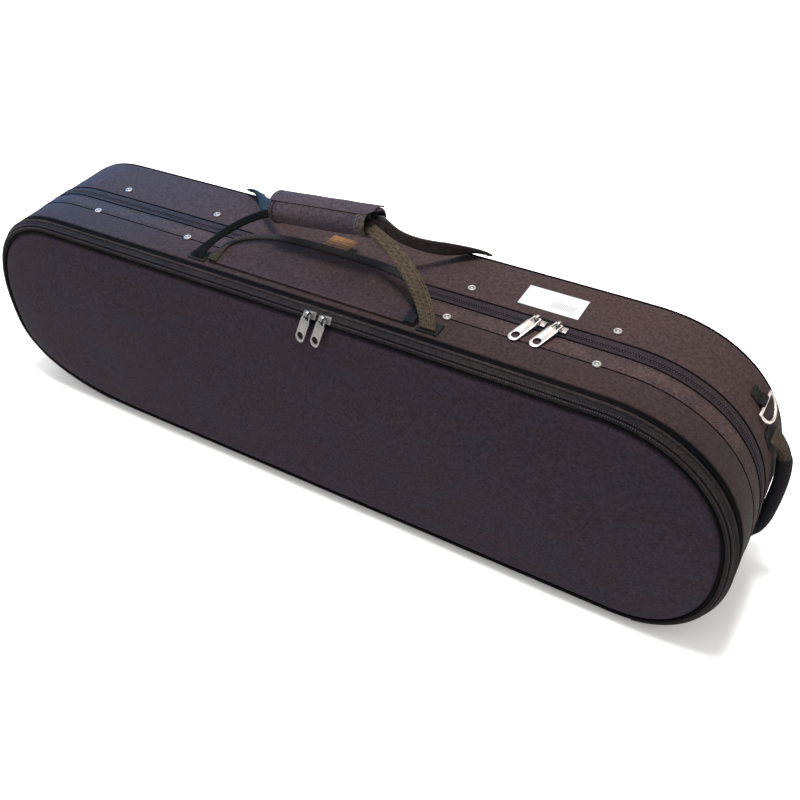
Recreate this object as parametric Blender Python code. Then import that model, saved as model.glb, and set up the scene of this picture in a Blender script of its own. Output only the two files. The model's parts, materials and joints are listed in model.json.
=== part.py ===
"""Oblong violin case: two padded half shells that close with a zip, a front pocket and carrying loops.

Metres, +Z up. The origin is on the floor at mid-length, on the plane where the two half shells meet.
+X is the right end, +Y the back, -Y the front with the pocket.
"""

import math

import bmesh
import bpy
from mathutils import Matrix, Vector

MM = 0.001

# Outline of the case seen from the front
case_length = 798 * MM
case_height = 233 * MM
corner_power = 2.2305
right_nose_share = 0.4481
left_nose_share = 0.3498
right_top_share = 0.1551
left_top_share = 0.1486
right_bottom_share = 0.1104
left_bottom_share = 0.1977
crown_drop = 3.4 * MM

# Depths
back_depth = 67.5 * MM
lid_depth = 55 * MM
pocket_depth = 12.5 * MM

# Shells
gap = 0.3 * MM
shell_wall = 4 * MM
back_edge_radius = 8 * MM
inner_chamfer = 4 * MM
lid_inner_chamfer = 2 * MM
edge_step = 3 * MM
edge_step_depth = 2.7 * MM
edge_softening = 1.2 * MM
piping_radius = 1.2 * MM
tape_thickness = 1.2 * MM
coil_rise = 0.7 * MM
coil_half_width = 1.6 * MM
back_band_width = 8 * MM
lid_zip_band_width = 6.6 * MM
hem_edge = 24.3 * MM
spine_overlap = 1.2 * MM

# Pocket at the front
pocket_swell = 4.5 * MM
swell_power = 4
panel_crown = 4 * MM
panel_core_share = 0.7
panel_thickness = 3 * MM
panel_piping_inset = 10 * MM
cover_tape_width = 3.1 * MM
cover_tape_slope = 1.6 * MM
cover_tape_lift = 0.6 * MM
pocket_split_inset = 4.8 * MM
pocket_tape_inset = 1.2 * MM
pocket_tape_drop = 6.4 * MM
pocket_tape_thickness = 1 * MM
split_width = 0.7 * MM
split_lift = 0.4 * MM
ridge_depth = 1.5 * MM
ridge_softening = 0.9 * MM
gusset_wall = 1.6 * MM
groove_inset = 3 * MM
gusset_flange = 3 * MM

# Violin bed
bed_front = 8.5 * MM
bed_floor = 55 * MM
violin_centre = 116.5 * MM
body_right_share = 0.466
body_length = 355 * MM
body_half_width = 106 * MM
neck_channel_half = 21 * MM
neck_channel_length = 135 * MM
scroll_half = 42 * MM
scroll_length = 110 * MM
rest_recess_right = -250 * MM
rest_recess_length = 110 * MM
rest_recess_bottom = 55 * MM
rest_recess_height = 120 * MM
box_right = -20 * MM
box_length = 195 * MM
box_bottom = 166 * MM
box_height = 46 * MM
box_wall = 1.5 * MM
box_lid_thickness = 2.7 * MM
box_tongue_width = 14 * MM
box_tongue_length = 7 * MM
neck_rest_right = -25 * MM
neck_rest_length = 35 * MM
neck_rest_height = 25 * MM
neck_saddle_radius = 15 * MM
neck_strap_width = 24 * MM
neck_strap_length = 48 * MM
neck_strap_thickness = 1.8 * MM
neck_strap_margin = 3 * MM

# Lid lining
pad_thickness = 4 * MM
bow_heights_from_floor = (60 * MM, 165 * MM)
spinner_share = 0.376
spinner_post_radius = 4 * MM
spinner_post_height = 16 * MM
spinner_wing_length = 32 * MM
spinner_wing_width = 11 * MM
spinner_wing_thickness = 4 * MM
tip_pocket_share = -0.42
tip_pocket_length = 55 * MM
tip_pocket_bottom = 42 * MM
tip_pocket_height = 142 * MM
tip_pocket_depth = 17 * MM
tip_pocket_wall = 2 * MM

# Carrying loops
strap_thickness = 2.5 * MM
strap_base_width = 19 * MM
front_grip_strap_width = 8 * MM
back_grip_strap_width = 9 * MM
front_base_from_parting = 47 * MM
front_base_left = -106.5 * MM
front_base_right = 131 * MM
back_base_left = -128 * MM
back_base_right = 122 * MM
grip_left = -44 * MM
grip_right = 55 * MM
back_grip_right = 62 * MM
grip_heights = (275.8 * MM, 286.2 * MM)
grip_half_depths = (14.5 * MM, 14 * MM)
grip_half_heights = (12.5 * MM, 12 * MM)
grip_end_round = 1.5 * MM
grip_split = 0.5 * MM
front_grip_strap_from_parting = -5.2 * MM
back_grip_strap_from_parting = 5.3 * MM
front_strap_sinks = (3.6 * MM, 3.2 * MM)
back_strap_sinks = (2 * MM, 3 * MM)
front_strap_lean_angle = 43
back_strap_lean_angle = 90
strap_run_out = 2 * MM
anchor_length = 14 * MM
anchor_thickness = 1.4 * MM

# Flap over the zip
flap_left = -93 * MM
flap_right = 118 * MM
flap_front = 47 * MM
flap_reach = 57 * MM
flap_power = 3.0
flap_thickness = 4.5 * MM
flap_edge_thickness = 2.2 * MM
flap_rise = 5.5 * MM
flap_end = 10 * MM
gold_tab_from_middle = 7.5 * MM
gold_tab_width = 25 * MM
gold_tab_length = 19 * MM
gold_tab_seam = 3 * MM
gold_tab_thickness = 1 * MM

# Rivets and sticker
rivet_radius = 4 * MM
rivet_height = 1.3 * MM
rivet_rim = 1.2 * MM
rivet_dimple_depth = 0.7 * MM
rivet_shares = (-0.3169, -0.1719, 0.1707, 0.3292)
back_rivet_from_parting = 19 * MM
sticker_share = 0.2556
sticker_length = 52 * MM
sticker_width = 26 * MM
sticker_from_parting = 31.5 * MM
sticker_thickness = 0.4 * MM

# Zip sliders and pulls
slider_height = 1.6 * MM
slider_half_width = 3.2 * MM
slider_taper = 0.8 * MM
main_slider_length = 14 * MM
pocket_slider_length = 12 * MM
lug_width = 2.4 * MM
lug_radius = 2.9 * MM
lug_eye = 1.5 * MM
pull_axis_height = 5 * MM
pull_width = 9.7 * MM
pull_length = 31 * MM
pull_thickness = 1.4 * MM
pull_root = 1.6 * MM
pull_window = 5 * MM
pull_window_rail = 2.2 * MM
pull_hole_radius = 3.5 * MM
pull_hole_from_tip = 6.5 * MM
main_slider_shares = (0.2556, 0.2782)
main_pull_turn = 22
main_pull_clear = 0.5 * MM
pocket_slider_shares = (0.0388, 0.0576)
pocket_slider_tilt = 50
pocket_pull_tilt = 12.5
pocket_pull_turn = 22
pocket_slider_clear = 0.4 * MM

# D-rings and end handle
dring_width = 24 * MM
dring_from_parting = 40.5 * MM
dring_heights = (185 * MM, 144 * MM)
dring_wire = 1.4 * MM
dring_drop = 15 * MM
dring_side = 3 * MM
dring_eye = 2 * MM
dring_tab_length = 24 * MM
dring_web = 1.4 * MM
end_handle_from_parting = 34 * MM
end_handle_radius = 6.2 * MM
end_handle_top = 164 * MM
end_handle_bottom = 40 * MM
end_handle_clearance = 10 * MM
end_web_half_width = 11 * MM
end_web_thickness = 2.4 * MM
end_tab_height = 16 * MM
end_tab_thickness = 1.2 * MM

# Share of the lower bout's half width at each share of the body's length, from the lower end
body_shares = (
    (0.000, 0.10), (0.008, 0.32), (0.030, 0.56), (0.070, 0.78), (0.130, 0.93), (0.190, 0.985),
    (0.250, 1.00), (0.320, 0.97), (0.370, 0.88), (0.395, 0.80), (0.420, 0.66), (0.465, 0.57),
    (0.515, 0.545), (0.570, 0.565), (0.615, 0.65), (0.640, 0.74), (0.690, 0.785), (0.760, 0.81),
    (0.820, 0.80), (0.880, 0.74), (0.935, 0.62), (0.975, 0.42), (1.000, 0.23),
)
# Share of the way down the end handle, share of its stand-off from the case, and of the grip's roundness
end_handle_shares = (
    (0.00, 0.00, 0.0), (0.05, 0.40, 0.2), (0.11, 0.92, 0.8), (0.19, 1.00, 1.0), (0.28, 0.96, 1.0),
    (0.38, 0.83, 1.0), (0.50, 0.68, 1.0), (0.62, 0.62, 1.0), (0.74, 0.70, 1.0), (0.84, 0.76, 0.9),
    (0.91, 0.56, 0.5), (0.96, 0.26, 0.1), (1.00, 0.00, 0.0),
)
# Shares of the way from a loop's sewn end to the grip, in x, y and z, that shape each leg's curve
front_leg_shares = {
    "left": ((0.160, 0.352, 0.320), (0.510, 0.885, 0.760)),
    "right": ((0.068, 0.311, 0.318), (0.446, 0.742, 0.770)),
}
back_leg_shares = {
    "left": ((0.030, 0.060, 0.100), (0.600, 0.750, 0.400)),
    "right": ((0.040, 0.060, 0.100), (0.800, 0.780, 0.330)),
}
# Share of the pocket panel's crown at each share of the way from its rim to its middle line
crown_shares = ((0.0, 0.0), (0.06, 0.35), (0.16, 0.65), (0.35, 0.88), (0.65, 0.98), (0.97, 1.0))
leg_steps = 8
leg_turn_steps = 4

half_length = case_length / 2
front_face = -(lid_depth + pocket_depth)
body_right = body_right_share * case_length
spinner_from_middle = spinner_share * case_length
tip_pocket_left = tip_pocket_share * case_length
sticker_middle = sticker_share * case_length
rivet_positions = [share * case_length for share in rivet_shares]
bottom_corner_angles = (90, 78, 77.7, 66, 54, 42, 30, 18, 8, 0)
top_corner_angles = (8, 18, 30, 42, 54, 66, 78, 90)
top_steps = 6
zip_first = 2
outlines = {}

for old in list(bpy.data.objects):
    bpy.data.objects.remove(old)

case = bpy.data.collections.new("violin_case")
cutters = bpy.data.collections.new("cutters")
bpy.context.scene.collection.children.link(case)
bpy.context.scene.collection.children.link(cutters)


def crown_at(x, z):
    weight = min(max((z - case_height / 2) / (case_height / 2), 0), 1)
    return crown_drop * (x / half_length) ** 2 * weight


def corner_point(side, long, nose, flat, degrees):
    angle = math.radians(degrees)
    power = 2 / corner_power
    x = side * (half_length - long + long * max(math.cos(angle), 0) ** power)
    z = nose + (flat - nose) * max(math.sin(angle), 0) ** power
    return Vector((x, z - crown_at(x, z)))


def corner(side, long, nose, flat, angles):
    """Points of one corner and the direction in which the outline runs at each of them."""
    step = 0.05
    found = []
    for degrees in angles:
        low = max(degrees - step, 0)
        high = min(degrees + step, 90)
        run = corner_point(side, long, nose, flat, high) - corner_point(side, long, nose, flat, low)
        found.append((corner_point(side, long, nose, flat, degrees), run.normalized()))
    return found


def outline(inset):
    """(x, z) points of the outline moved in by inset, from the right end of the flat bottom round the top."""
    if inset in outlines:
        return outlines[inset]
    right_nose = right_nose_share * case_height
    left_nose = left_nose_share * case_height
    right_start = half_length - right_top_share * case_length
    left_start = -half_length + left_top_share * case_length
    rows = corner(1, right_bottom_share * case_length, right_nose, 0, bottom_corner_angles)
    rows += corner(1, right_top_share * case_length, right_nose, case_height, top_corner_angles)
    for k in range(1, top_steps):
        x = right_start + (left_start - right_start) * k / top_steps
        slope = -2 * crown_drop * x / half_length**2
        rows.append((Vector((x, case_height - crown_at(x, case_height))), Vector((1, slope)).normalized()))
    rows += corner(-1, left_top_share * case_length, left_nose, case_height, reversed(top_corner_angles))
    rows += corner(-1, left_bottom_share * case_length, left_nose, 0, reversed(bottom_corner_angles))
    middle = Vector((0, case_height / 2))
    moved = []
    for point, run in rows:
        inward = Vector((-run.y, run.x))
        if inward.dot(middle - point) < 0:
            inward = -inward
        moved.append(point + inward * inset)
    outlines[inset] = moved
    return moved


def ring(inset, y):
    return [Vector((x, y, z)) for x, z in outline(inset)]


def swell_at(z):
    """How far the pocket stands forward of its place at the top: it is fuller lower down."""
    return pocket_swell * (1 - min(max(z / case_height, 0), 1) ** swell_power)


def pocket_ring(inset, y):
    """A ring of the pocket: what lies in front of the lid's face is moved forward where the pocket swells."""
    share = min(max((seat - y) / (seat - ridge_back), 0), 1)
    return [Vector((p.x, p.y - swell_at(p.z) * share, p.z)) for p in ring(inset, y)]


def finish(obj, color, roughness, metallic=0.0):
    material = bpy.data.materials.new(obj.name)
    material.use_nodes = True
    shader = material.node_tree.nodes["Principled BSDF"]
    shader.inputs["Base Color"].default_value = (*color, 1)
    shader.inputs["Roughness"].default_value = roughness
    shader.inputs["Metallic"].default_value = metallic
    material.diffuse_color = (*color, 1)
    obj.data.materials.append(material)


def place(obj, look, cutter=False):
    if cutter:
        cutters.objects.link(obj)
        obj.hide_render = True
        obj.display_type = "WIRE"
    else:
        case.objects.link(obj)
        finish(obj, *look)
    return obj


def solid(name, points, faces, look, origin=None, cutter=False):
    """A mesh object from points and faces, with its origin moved to the given point."""
    origin = Vector(origin or (0, 0, 0))
    mesh = bpy.data.meshes.new(name)
    mesh.from_pydata([Vector(p) - origin for p in points], [], faces)
    faces_out = bmesh.new()
    faces_out.from_mesh(mesh)
    bmesh.ops.recalc_face_normals(faces_out, faces=faces_out.faces)
    faces_out.to_mesh(mesh)
    faces_out.free()
    obj = bpy.data.objects.new(name, mesh)
    obj.location = origin
    return place(obj, look, cutter)


def loft(name, rings, look, closed=False, origin=None, cutter=False):
    """Rings of equal length joined one to the next: capped at both ends, or run round to the start."""
    count = len(rings[0])
    points = [p for one in rings for p in one]
    faces = []
    for i in range(len(rings) if closed else len(rings) - 1):
        here = i * count
        there = (i + 1) % len(rings) * count
        for j in range(count):
            k = (j + 1) % count
            faces.append((here + j, here + k, there + k, there + j))
    if not closed:
        faces.append(tuple(range(count)))
        faces.append(tuple(range(len(points) - count, len(points))))
    return solid(name, points, faces, look, origin, cutter)


def tray(name, stations, look):
    return loft(name, [ring(inset, y) for inset, y in stations], look)


def band(name, profile, look, span=None, origin=None, make_ring=ring):
    """A profile of (inset, y) points swept round the outline, or along the given span of its points."""
    lines = [make_ring(inset, y) for inset, y in profile]
    chosen = span or range(len(lines[0]))
    rings = [[line[i] for line in lines] for i in chosen]
    return loft(name, rings, look, closed=span is None, origin=origin)


def piping(name, inset, y, radius, look, origin=None, make_ring=ring):
    """A cord that runs once round the case."""
    origin = Vector(origin or (0, 0, 0))
    curve = bpy.data.curves.new(name, "CURVE")
    curve.dimensions = "3D"
    curve.resolution_u = 1
    curve.bevel_depth = radius
    curve.bevel_resolution = 1
    points = make_ring(inset, y)
    spline = curve.splines.new("POLY")
    spline.points.add(len(points) - 1)
    for spot, point in zip(spline.points, points):
        spot.co = (*(point - origin), 1)
    spline.use_cyclic_u = True
    obj = bpy.data.objects.new(name, curve)
    obj.location = origin
    return place(obj, look)


def prism(name, polygon, start, end, look, axis=1, origin=None, cutter=False):
    """A flat polygon run straight along one axis: its two numbers fill the other two axes in order."""
    rings = []
    for at in (start, end):
        flat = [list(pair) for pair in polygon]
        for pair in flat:
            pair.insert(axis, at)
        rings.append([Vector(pair) for pair in flat])
    return loft(name, rings, look, origin=origin, cutter=cutter)


def arc(middle, radius, start, end, steps):
    found = []
    for k in range(steps + 1):
        angle = math.radians(start + (end - start) * k / steps)
        found.append((middle[0] + radius * math.cos(angle), middle[1] + radius * math.sin(angle)))
    return found


def circle(middle, radius, count):
    return arc(middle, radius, 0, 360 - 360 / count, count - 1)


def box(left, right, low, high):
    return [(left, low), (right, low), (right, high), (left, high)]


def combine(obj, other, operation):
    modifier = obj.modifiers.new(other.name, "BOOLEAN")
    modifier.operation = operation
    modifier.solver = "EXACT"
    modifier.object = other


def top_height(x):
    return case_height - crown_at(x, case_height)


def top_slope(x):
    return -2 * crown_drop * x / half_length**2


def end_line(side, inset, low, high):
    """(x, z) points up one end of the outline moved in by inset, between two heights."""
    points = [p for p in outline(inset) if p.x * side > half_length / 2]
    points.sort(key=lambda p: p.y)
    found = []
    for lower, upper in zip(points, points[1:]):
        if lower.y <= low < upper.y:
            found.append(lower.lerp(upper, (low - lower.y) / (upper.y - lower.y)))
        if low < upper.y < high:
            found.append(upper)
        if lower.y < high <= upper.y:
            found.append(lower.lerp(upper, (high - lower.y) / (upper.y - lower.y)))
    return found


def end_point(side, height):
    """The point of the outline at this height on one end, and the outward direction there, in (x, z)."""
    low, high = end_line(side, 0, height, height + gap)[:2]
    run = (high - low).normalized()
    return low, Vector((run.y, -run.x)) * side


fabric = ((0.075, 0.062, 0.070), 0.9)
wall_fabric = ((0.105, 0.088, 0.090), 0.9)
binding = ((0.050, 0.050, 0.045), 0.85)
webbing = ((0.060, 0.056, 0.052), 0.9)
zip_fabric = ((0.080, 0.055, 0.085), 0.8)
lining = ((0.110, 0.070, 0.055), 0.95)
nickel = ((0.640, 0.620, 0.580), 0.3, 1.0)
dark_metal = ((0.180, 0.170, 0.165), 0.4, 1.0)
white = ((0.900, 0.900, 0.890), 0.5)
gold = ((0.800, 0.450, 0.120), 0.6)

# Back half: the shell with its rounded back edge, the cord in that edge and the strip under it
rebate = tape_thickness + gap
back_rim = [(back_edge_radius, back_depth)]
for step in (67.5, 45, 22.5):
    turn = math.radians(step)
    back_rim.append((
        back_edge_radius * (1 - math.cos(turn)),
        back_depth - back_edge_radius * (1 - math.sin(turn)),
    ))
tray(
    "back_shell",
    back_rim
    + [
        (0, back_depth - back_edge_radius),
        (0, back_band_width),
        (rebate, back_band_width),
        (rebate, gap),
        (shell_wall, gap),
        (shell_wall, back_depth - shell_wall - inner_chamfer),
        (shell_wall + inner_chamfer, back_depth - shell_wall),
    ],
    wall_fabric,
)
cord_reach = (back_edge_radius + gap + piping_radius) * math.cos(math.radians(45))
back_cord_inset = back_edge_radius - cord_reach
piping("back_piping", back_cord_inset, back_depth - back_cord_inset, piping_radius, binding)

points_round = len(outline(0))
zip_span = range(zip_first, points_round - zip_first)
spine_span = [points_round - 2, points_round - 1, 0, 1]
band(
    "zip_tape_back",
    [
        (0, back_band_width - gap),
        (0, coil_half_width),
        (-coil_rise, coil_half_width - gap),
        (-coil_rise, gap),
        (tape_thickness, gap),
        (tape_thickness, back_band_width - gap),
    ],
    zip_fabric,
    zip_span,
)
band(
    "spine_strip_back",
    [
        (0, back_band_width - gap),
        (0, -spine_overlap),
        (tape_thickness, -spine_overlap),
        (tape_thickness, back_band_width - gap),
    ],
    binding,
    spine_span,
)

# Lid half
lid_face = -lid_depth
tray(
    "front_shell",
    [
        (edge_step, lid_face),
        (edge_step, lid_face + edge_step_depth),
        (edge_softening, lid_face + edge_step_depth),
        (0, lid_face + edge_step_depth + edge_softening),
        (0, -hem_edge - gap),
        (rebate, -hem_edge - gap),
        (rebate, -spine_overlap - gap),
        (shell_wall, -spine_overlap - gap),
        (shell_wall, lid_face + shell_wall + lid_inner_chamfer),
        (shell_wall + lid_inner_chamfer, lid_face + shell_wall),
    ],
    wall_fabric,
)
piping("front_piping", piping_radius, lid_face + edge_step_depth / 2 - gap, piping_radius, binding)
band(
    "zip_tape_front",
    [
        (0, -lid_zip_band_width),
        (0, -coil_half_width),
        (-coil_rise, -coil_half_width + gap),
        (-coil_rise, -gap),
        (tape_thickness, -gap),
        (tape_thickness, -lid_zip_band_width),
    ],
    zip_fabric,
    zip_span,
)
band(
    "spine_strip_front",
    [
        (0, -lid_zip_band_width),
        (0, -spine_overlap - gap),
        (tape_thickness, -spine_overlap - gap),
        (tape_thickness, -lid_zip_band_width),
    ],
    binding,
    spine_span,
)
band(
    "front_hem",
    [
        (0, -hem_edge),
        (0, -lid_zip_band_width - gap),
        (tape_thickness, -lid_zip_band_width - gap),
        (tape_thickness, -hem_edge),
    ],
    fabric,
)

# Pocket: the gusset on the lid's face, the zip tapes on its bevel and the cover that swings open
seat = lid_face - gap
ridge_front = front_face + pocket_tape_drop + ridge_softening
ridge_back = ridge_front + ridge_softening + ridge_depth
band(
    "pocket_gusset",
    [
        (ridge_softening, ridge_front),
        (0, ridge_front + ridge_softening),
        (0, ridge_back - ridge_softening),
        (ridge_softening, ridge_back),
        (groove_inset, ridge_back + ridge_softening),
        (groove_inset + ridge_depth, seat),
        (groove_inset + ridge_depth + gusset_flange, seat),
        (groove_inset + ridge_depth + gusset_flange, seat - pocket_tape_thickness),
        (groove_inset + gusset_wall, ridge_back),
        (gusset_wall + ridge_softening, ridge_back - ridge_softening),
        (gusset_wall + ridge_softening, ridge_front),
    ],
    fabric,
    make_ring=pocket_ring,
)
cover_end = Vector((pocket_split_inset, front_face + cover_tape_lift + cover_tape_slope))
cover_start = Vector((pocket_split_inset + cover_tape_width, front_face + cover_tape_lift))
cover_run = (cover_end - cover_start).normalized()
cover_in = Vector((cover_run.y, -cover_run.x)) * pocket_tape_thickness
lid_start = cover_end + Vector((-split_width, split_lift))
lid_end = Vector((pocket_tape_inset, front_face + pocket_tape_drop))
lid_run = (lid_end - lid_start).normalized()
lid_in = Vector((lid_run.y, -lid_run.x)) * pocket_tape_thickness
cover_axis = (0, lid_start.y - gap / 2 - pocket_swell, pocket_split_inset - gap)
band(
    "pocket_cover_tape",
    [cover_start, cover_end, cover_end + cover_in, cover_start + cover_in],
    fabric,
    origin=cover_axis,
    make_ring=pocket_ring,
)
band(
    "pocket_zip_tape",
    [lid_start, lid_end, lid_end + lid_in, lid_start + lid_in],
    fabric,
    make_ring=pocket_ring,
)
piping(
    "pocket_panel_piping",
    panel_piping_inset,
    front_face + piping_radius,
    piping_radius,
    binding,
    cover_axis,
    pocket_ring,
)

panel_core = panel_core_share * half_length
panel_rings = [pocket_ring(panel_piping_inset + piping_radius + gap, front_face + panel_thickness)]
panel_rim = pocket_ring(panel_piping_inset + piping_radius + gap, front_face)
for along, crown in crown_shares:
    one = []
    for p in panel_rim:
        core = Vector((min(max(p.x, -panel_core), panel_core), p.y, case_height / 2))
        spot = p.lerp(core, along)
        spot.y = front_face - swell_at(spot.z) - panel_crown * crown
        one.append(spot)
    panel_rings.append(one)
loft("pocket_panel", panel_rings, fabric, origin=cover_axis)

# Violin bed with the recesses for the violin, the shoulder rest and the accessory box
bed_side = shell_wall + gap
bed_back = back_depth - shell_wall - gap
bed = tray(
    "violin_bed",
    [
        (bed_side, bed_front),
        (bed_side, bed_back - inner_chamfer),
        (bed_side + inner_chamfer, bed_back),
    ],
    lining,
)
lower_side = []
for along, wide in body_shares:
    lower_side.append((body_right - along * body_length, wide * body_half_width))
body_left = body_right - body_length
channel_left = body_left - neck_channel_length
scroll_left = channel_left - scroll_length
lower_side += [
    (body_left - gap, neck_channel_half),
    (channel_left, neck_channel_half),
    (channel_left - scroll_half / 4, scroll_half),
    (scroll_left + scroll_half / 4, scroll_half),
    (scroll_left, scroll_half * 3 / 4),
]
recess = [(x, violin_centre - half) for x, half in lower_side]
recess += [(x, violin_centre + half) for x, half in reversed(lower_side)]
combine(bed, prism("recess_cutter", recess, 0, bed_floor, None, cutter=True), "DIFFERENCE")
rest_box = box(
    rest_recess_right - rest_recess_length,
    rest_recess_right,
    rest_recess_bottom,
    rest_recess_bottom + rest_recess_height,
)
combine(bed, prism("rest_cutter", rest_box, 0, bed_floor, None, cutter=True), "DIFFERENCE")
box_left = box_right - box_length
box_top = box_bottom + box_height
around_box = box(box_left - gap, box_right + gap, box_bottom - gap, box_top + gap)
combine(bed, prism("box_cutter", around_box, 0, bed_floor, None, cutter=True), "DIFFERENCE")

liner = prism(
    "accessory_box", box(box_left, box_right, box_bottom, box_top), bed_front, bed_floor - gap, lining
)
inside_box = box(box_left + box_wall, box_right - box_wall, box_bottom + box_wall, box_top - box_wall)
combine(
    liner,
    prism("liner_cutter", inside_box, 0, bed_floor - gap - box_wall, None, cutter=True),
    "DIFFERENCE",
)
tongue_middle = (box_left + box_right) / 2
lid_shape = [
    (box_right, box_top),
    (box_left, box_top),
    (box_left, box_bottom + box_tongue_length),
    (tongue_middle - box_tongue_width, box_bottom + box_tongue_length),
    (tongue_middle - box_tongue_width / 2, box_bottom),
    (tongue_middle + box_tongue_width / 2, box_bottom),
    (tongue_middle + box_tongue_width, box_bottom + box_tongue_length),
    (box_right, box_bottom + box_tongue_length),
]
lid_front = bed_front - gap - box_lid_thickness
prism("accessory_lid", lid_shape, lid_front, bed_front - gap, lining, origin=(0, lid_front, box_top))

rest_side = neck_channel_half - gap
rest_back = bed_floor - gap
rest_front = rest_back - neck_rest_height
saddle = arc((rest_front, violin_centre), neck_saddle_radius, 60, -60, 6)
deepest = neck_saddle_radius * math.cos(math.radians(60))
prism(
    "neck_rest",
    [(rest_front, violin_centre + rest_side)]
    + [(y - deepest, z) for y, z in saddle]
    + [
        (rest_front, violin_centre - rest_side),
        (rest_back, violin_centre - rest_side),
        (rest_back, violin_centre + rest_side),
    ],
    neck_rest_right - neck_rest_length,
    neck_rest_right,
    lining,
    axis=0,
)
strap_top = violin_centre + neck_channel_half + neck_strap_margin
strap_middle = neck_rest_right - neck_rest_length / 2
prism(
    "neck_strap",
    box(
        strap_middle - neck_strap_width / 2,
        strap_middle + neck_strap_width / 2,
        strap_top - neck_strap_length,
        strap_top,
    ),
    bed_front - gap - neck_strap_thickness,
    bed_front - gap,
    webbing,
    origin=(0, bed_front - gap - neck_strap_thickness, strap_top),
)

# Lid lining: pad, turn buttons for two bows and the pocket that takes their tips
pad_back = lid_face + shell_wall + gap
pad_front = pad_back + pad_thickness
pad_side = shell_wall + lid_inner_chamfer + gap
tray("lid_pad", [(pad_side, pad_back), (pad_side, pad_front)], lining)
post_foot = pad_front + gap
wing_back = post_foot + spinner_post_height
for number, height in enumerate(bow_heights_from_floor, 1):
    spot = (spinner_from_middle, post_foot, height)
    post = circle((spinner_from_middle, height), spinner_post_radius, 12)
    spinner = prism(f"bow_spinner_{number}", post, post_foot, wing_back, binding, origin=spot)
    end = spinner_wing_length / 2 - spinner_wing_width / 2
    wing = arc((spinner_from_middle, height + end), spinner_wing_width / 2, 0, 180, 6)
    wing += arc((spinner_from_middle, height - end), spinner_wing_width / 2, 180, 360, 6)
    wing_start = wing_back - spinner_wing_thickness
    combine(
        spinner,
        prism(f"wing_{number}", wing, wing_start, wing_back + gap, None, cutter=True),
        "UNION",
    )
tip_right = tip_pocket_left + tip_pocket_length
tip_top = tip_pocket_bottom + tip_pocket_height
tip_pocket = prism(
    "bow_tip_pocket",
    box(tip_pocket_left, tip_right, tip_pocket_bottom, tip_top),
    post_foot,
    post_foot + tip_pocket_depth,
    lining,
)
tip_inside = box(
    tip_pocket_left + tip_pocket_wall,
    tip_right + tip_pocket_wall,
    tip_pocket_bottom + tip_pocket_wall,
    tip_top - tip_pocket_wall,
)
combine(
    tip_pocket,
    prism(
        "tip_cutter",
        tip_inside,
        post_foot + tip_pocket_wall,
        post_foot + tip_pocket_depth - tip_pocket_wall,
        None,
        cutter=True,
    ),
    "DIFFERENCE",
)

# Carrying loops: each a flat band bent up from its sewn ends, with half of the padded wrap on it
anchor_top = max(top_height(front_base_left), top_height(front_base_right)) + gap + anchor_thickness
front_axis = (0, -front_base_from_parting, anchor_top + gap + strap_thickness / 2)
cord = Vector((back_depth - back_cord_inset, case_height - back_cord_inset))
lift = (piping_radius + gap + strap_thickness / 2) * math.sin(math.radians(45))
back_axis = (0, cord.x + lift, cord.y + lift)


def bezier(a, b, c, d, steps):
    found = []
    for k in range(steps + 1):
        t = k / steps
        found.append(a * (1 - t) ** 3 + b * 3 * t * (1 - t) ** 2 + c * 3 * t * t * (1 - t) + d * t**3)
    return found


def grip_height(x):
    way = (x - grip_left) / (grip_right - grip_left)
    return grip_heights[0] + (grip_heights[1] - grip_heights[0]) * way


def grip_spot(x, from_parting, sinks):
    """The middle of a loop's band where it passes this x inside the grip."""
    way = (x - grip_left) / (grip_right - grip_left)
    return Vector((x, from_parting, grip_height(x) - sinks[0] - (sinks[1] - sinks[0]) * way))


def band_frame(lean):
    """The directions of a band's width and of its thickness where it runs through the grip."""
    angle = math.radians(lean)
    return Vector((0, math.cos(angle), math.sin(angle))), Vector((0, -math.sin(angle), math.cos(angle)))


def carrying_loop(name, axis, from_parting, sinks, lean, bases, grip_end, legs, grip_width):
    """The band of one loop: a curved leg from each sewn end to the straight run through the grip."""
    wide, face = band_frame(lean)
    path = []
    for side, x in (("left", grip_left - strap_run_out), ("right", grip_end + strap_run_out)):
        base = Vector((bases[side], axis[1], axis[2]))
        end = grip_spot(x, from_parting, sinks)
        shaped = [Vector(a + (b - a) * c for a, b, c in zip(base, end, shares)) for shares in legs[side]]
        leg = bezier(base, *shaped, end, leg_steps)
        path += leg if side == "left" else leg[::-1]
    last = len(path) - 1
    rings = []
    for k, point in enumerate(path):
        steps = min(k, last - k)
        run = (path[min(k + 1, last)] - path[max(k - 1, 0)]).normalized()
        flat = Vector((1, 0, 0)) if k < leg_steps else Vector((-1, 0, 0))
        side = flat.lerp(run.cross(face).normalized(), min(steps / leg_turn_steps, 1)).normalized()
        thick = side.cross(run).normalized()
        if steps == leg_steps:
            side = -wide
            thick = face
        side *= (strap_base_width + (grip_width - strap_base_width) * steps / leg_steps) / 2
        thick *= strap_thickness / 2
        rings.append([point - side - thick, point + side - thick, point + side + thick, point - side + thick])
    loft(name, rings, webbing, origin=axis)


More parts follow.
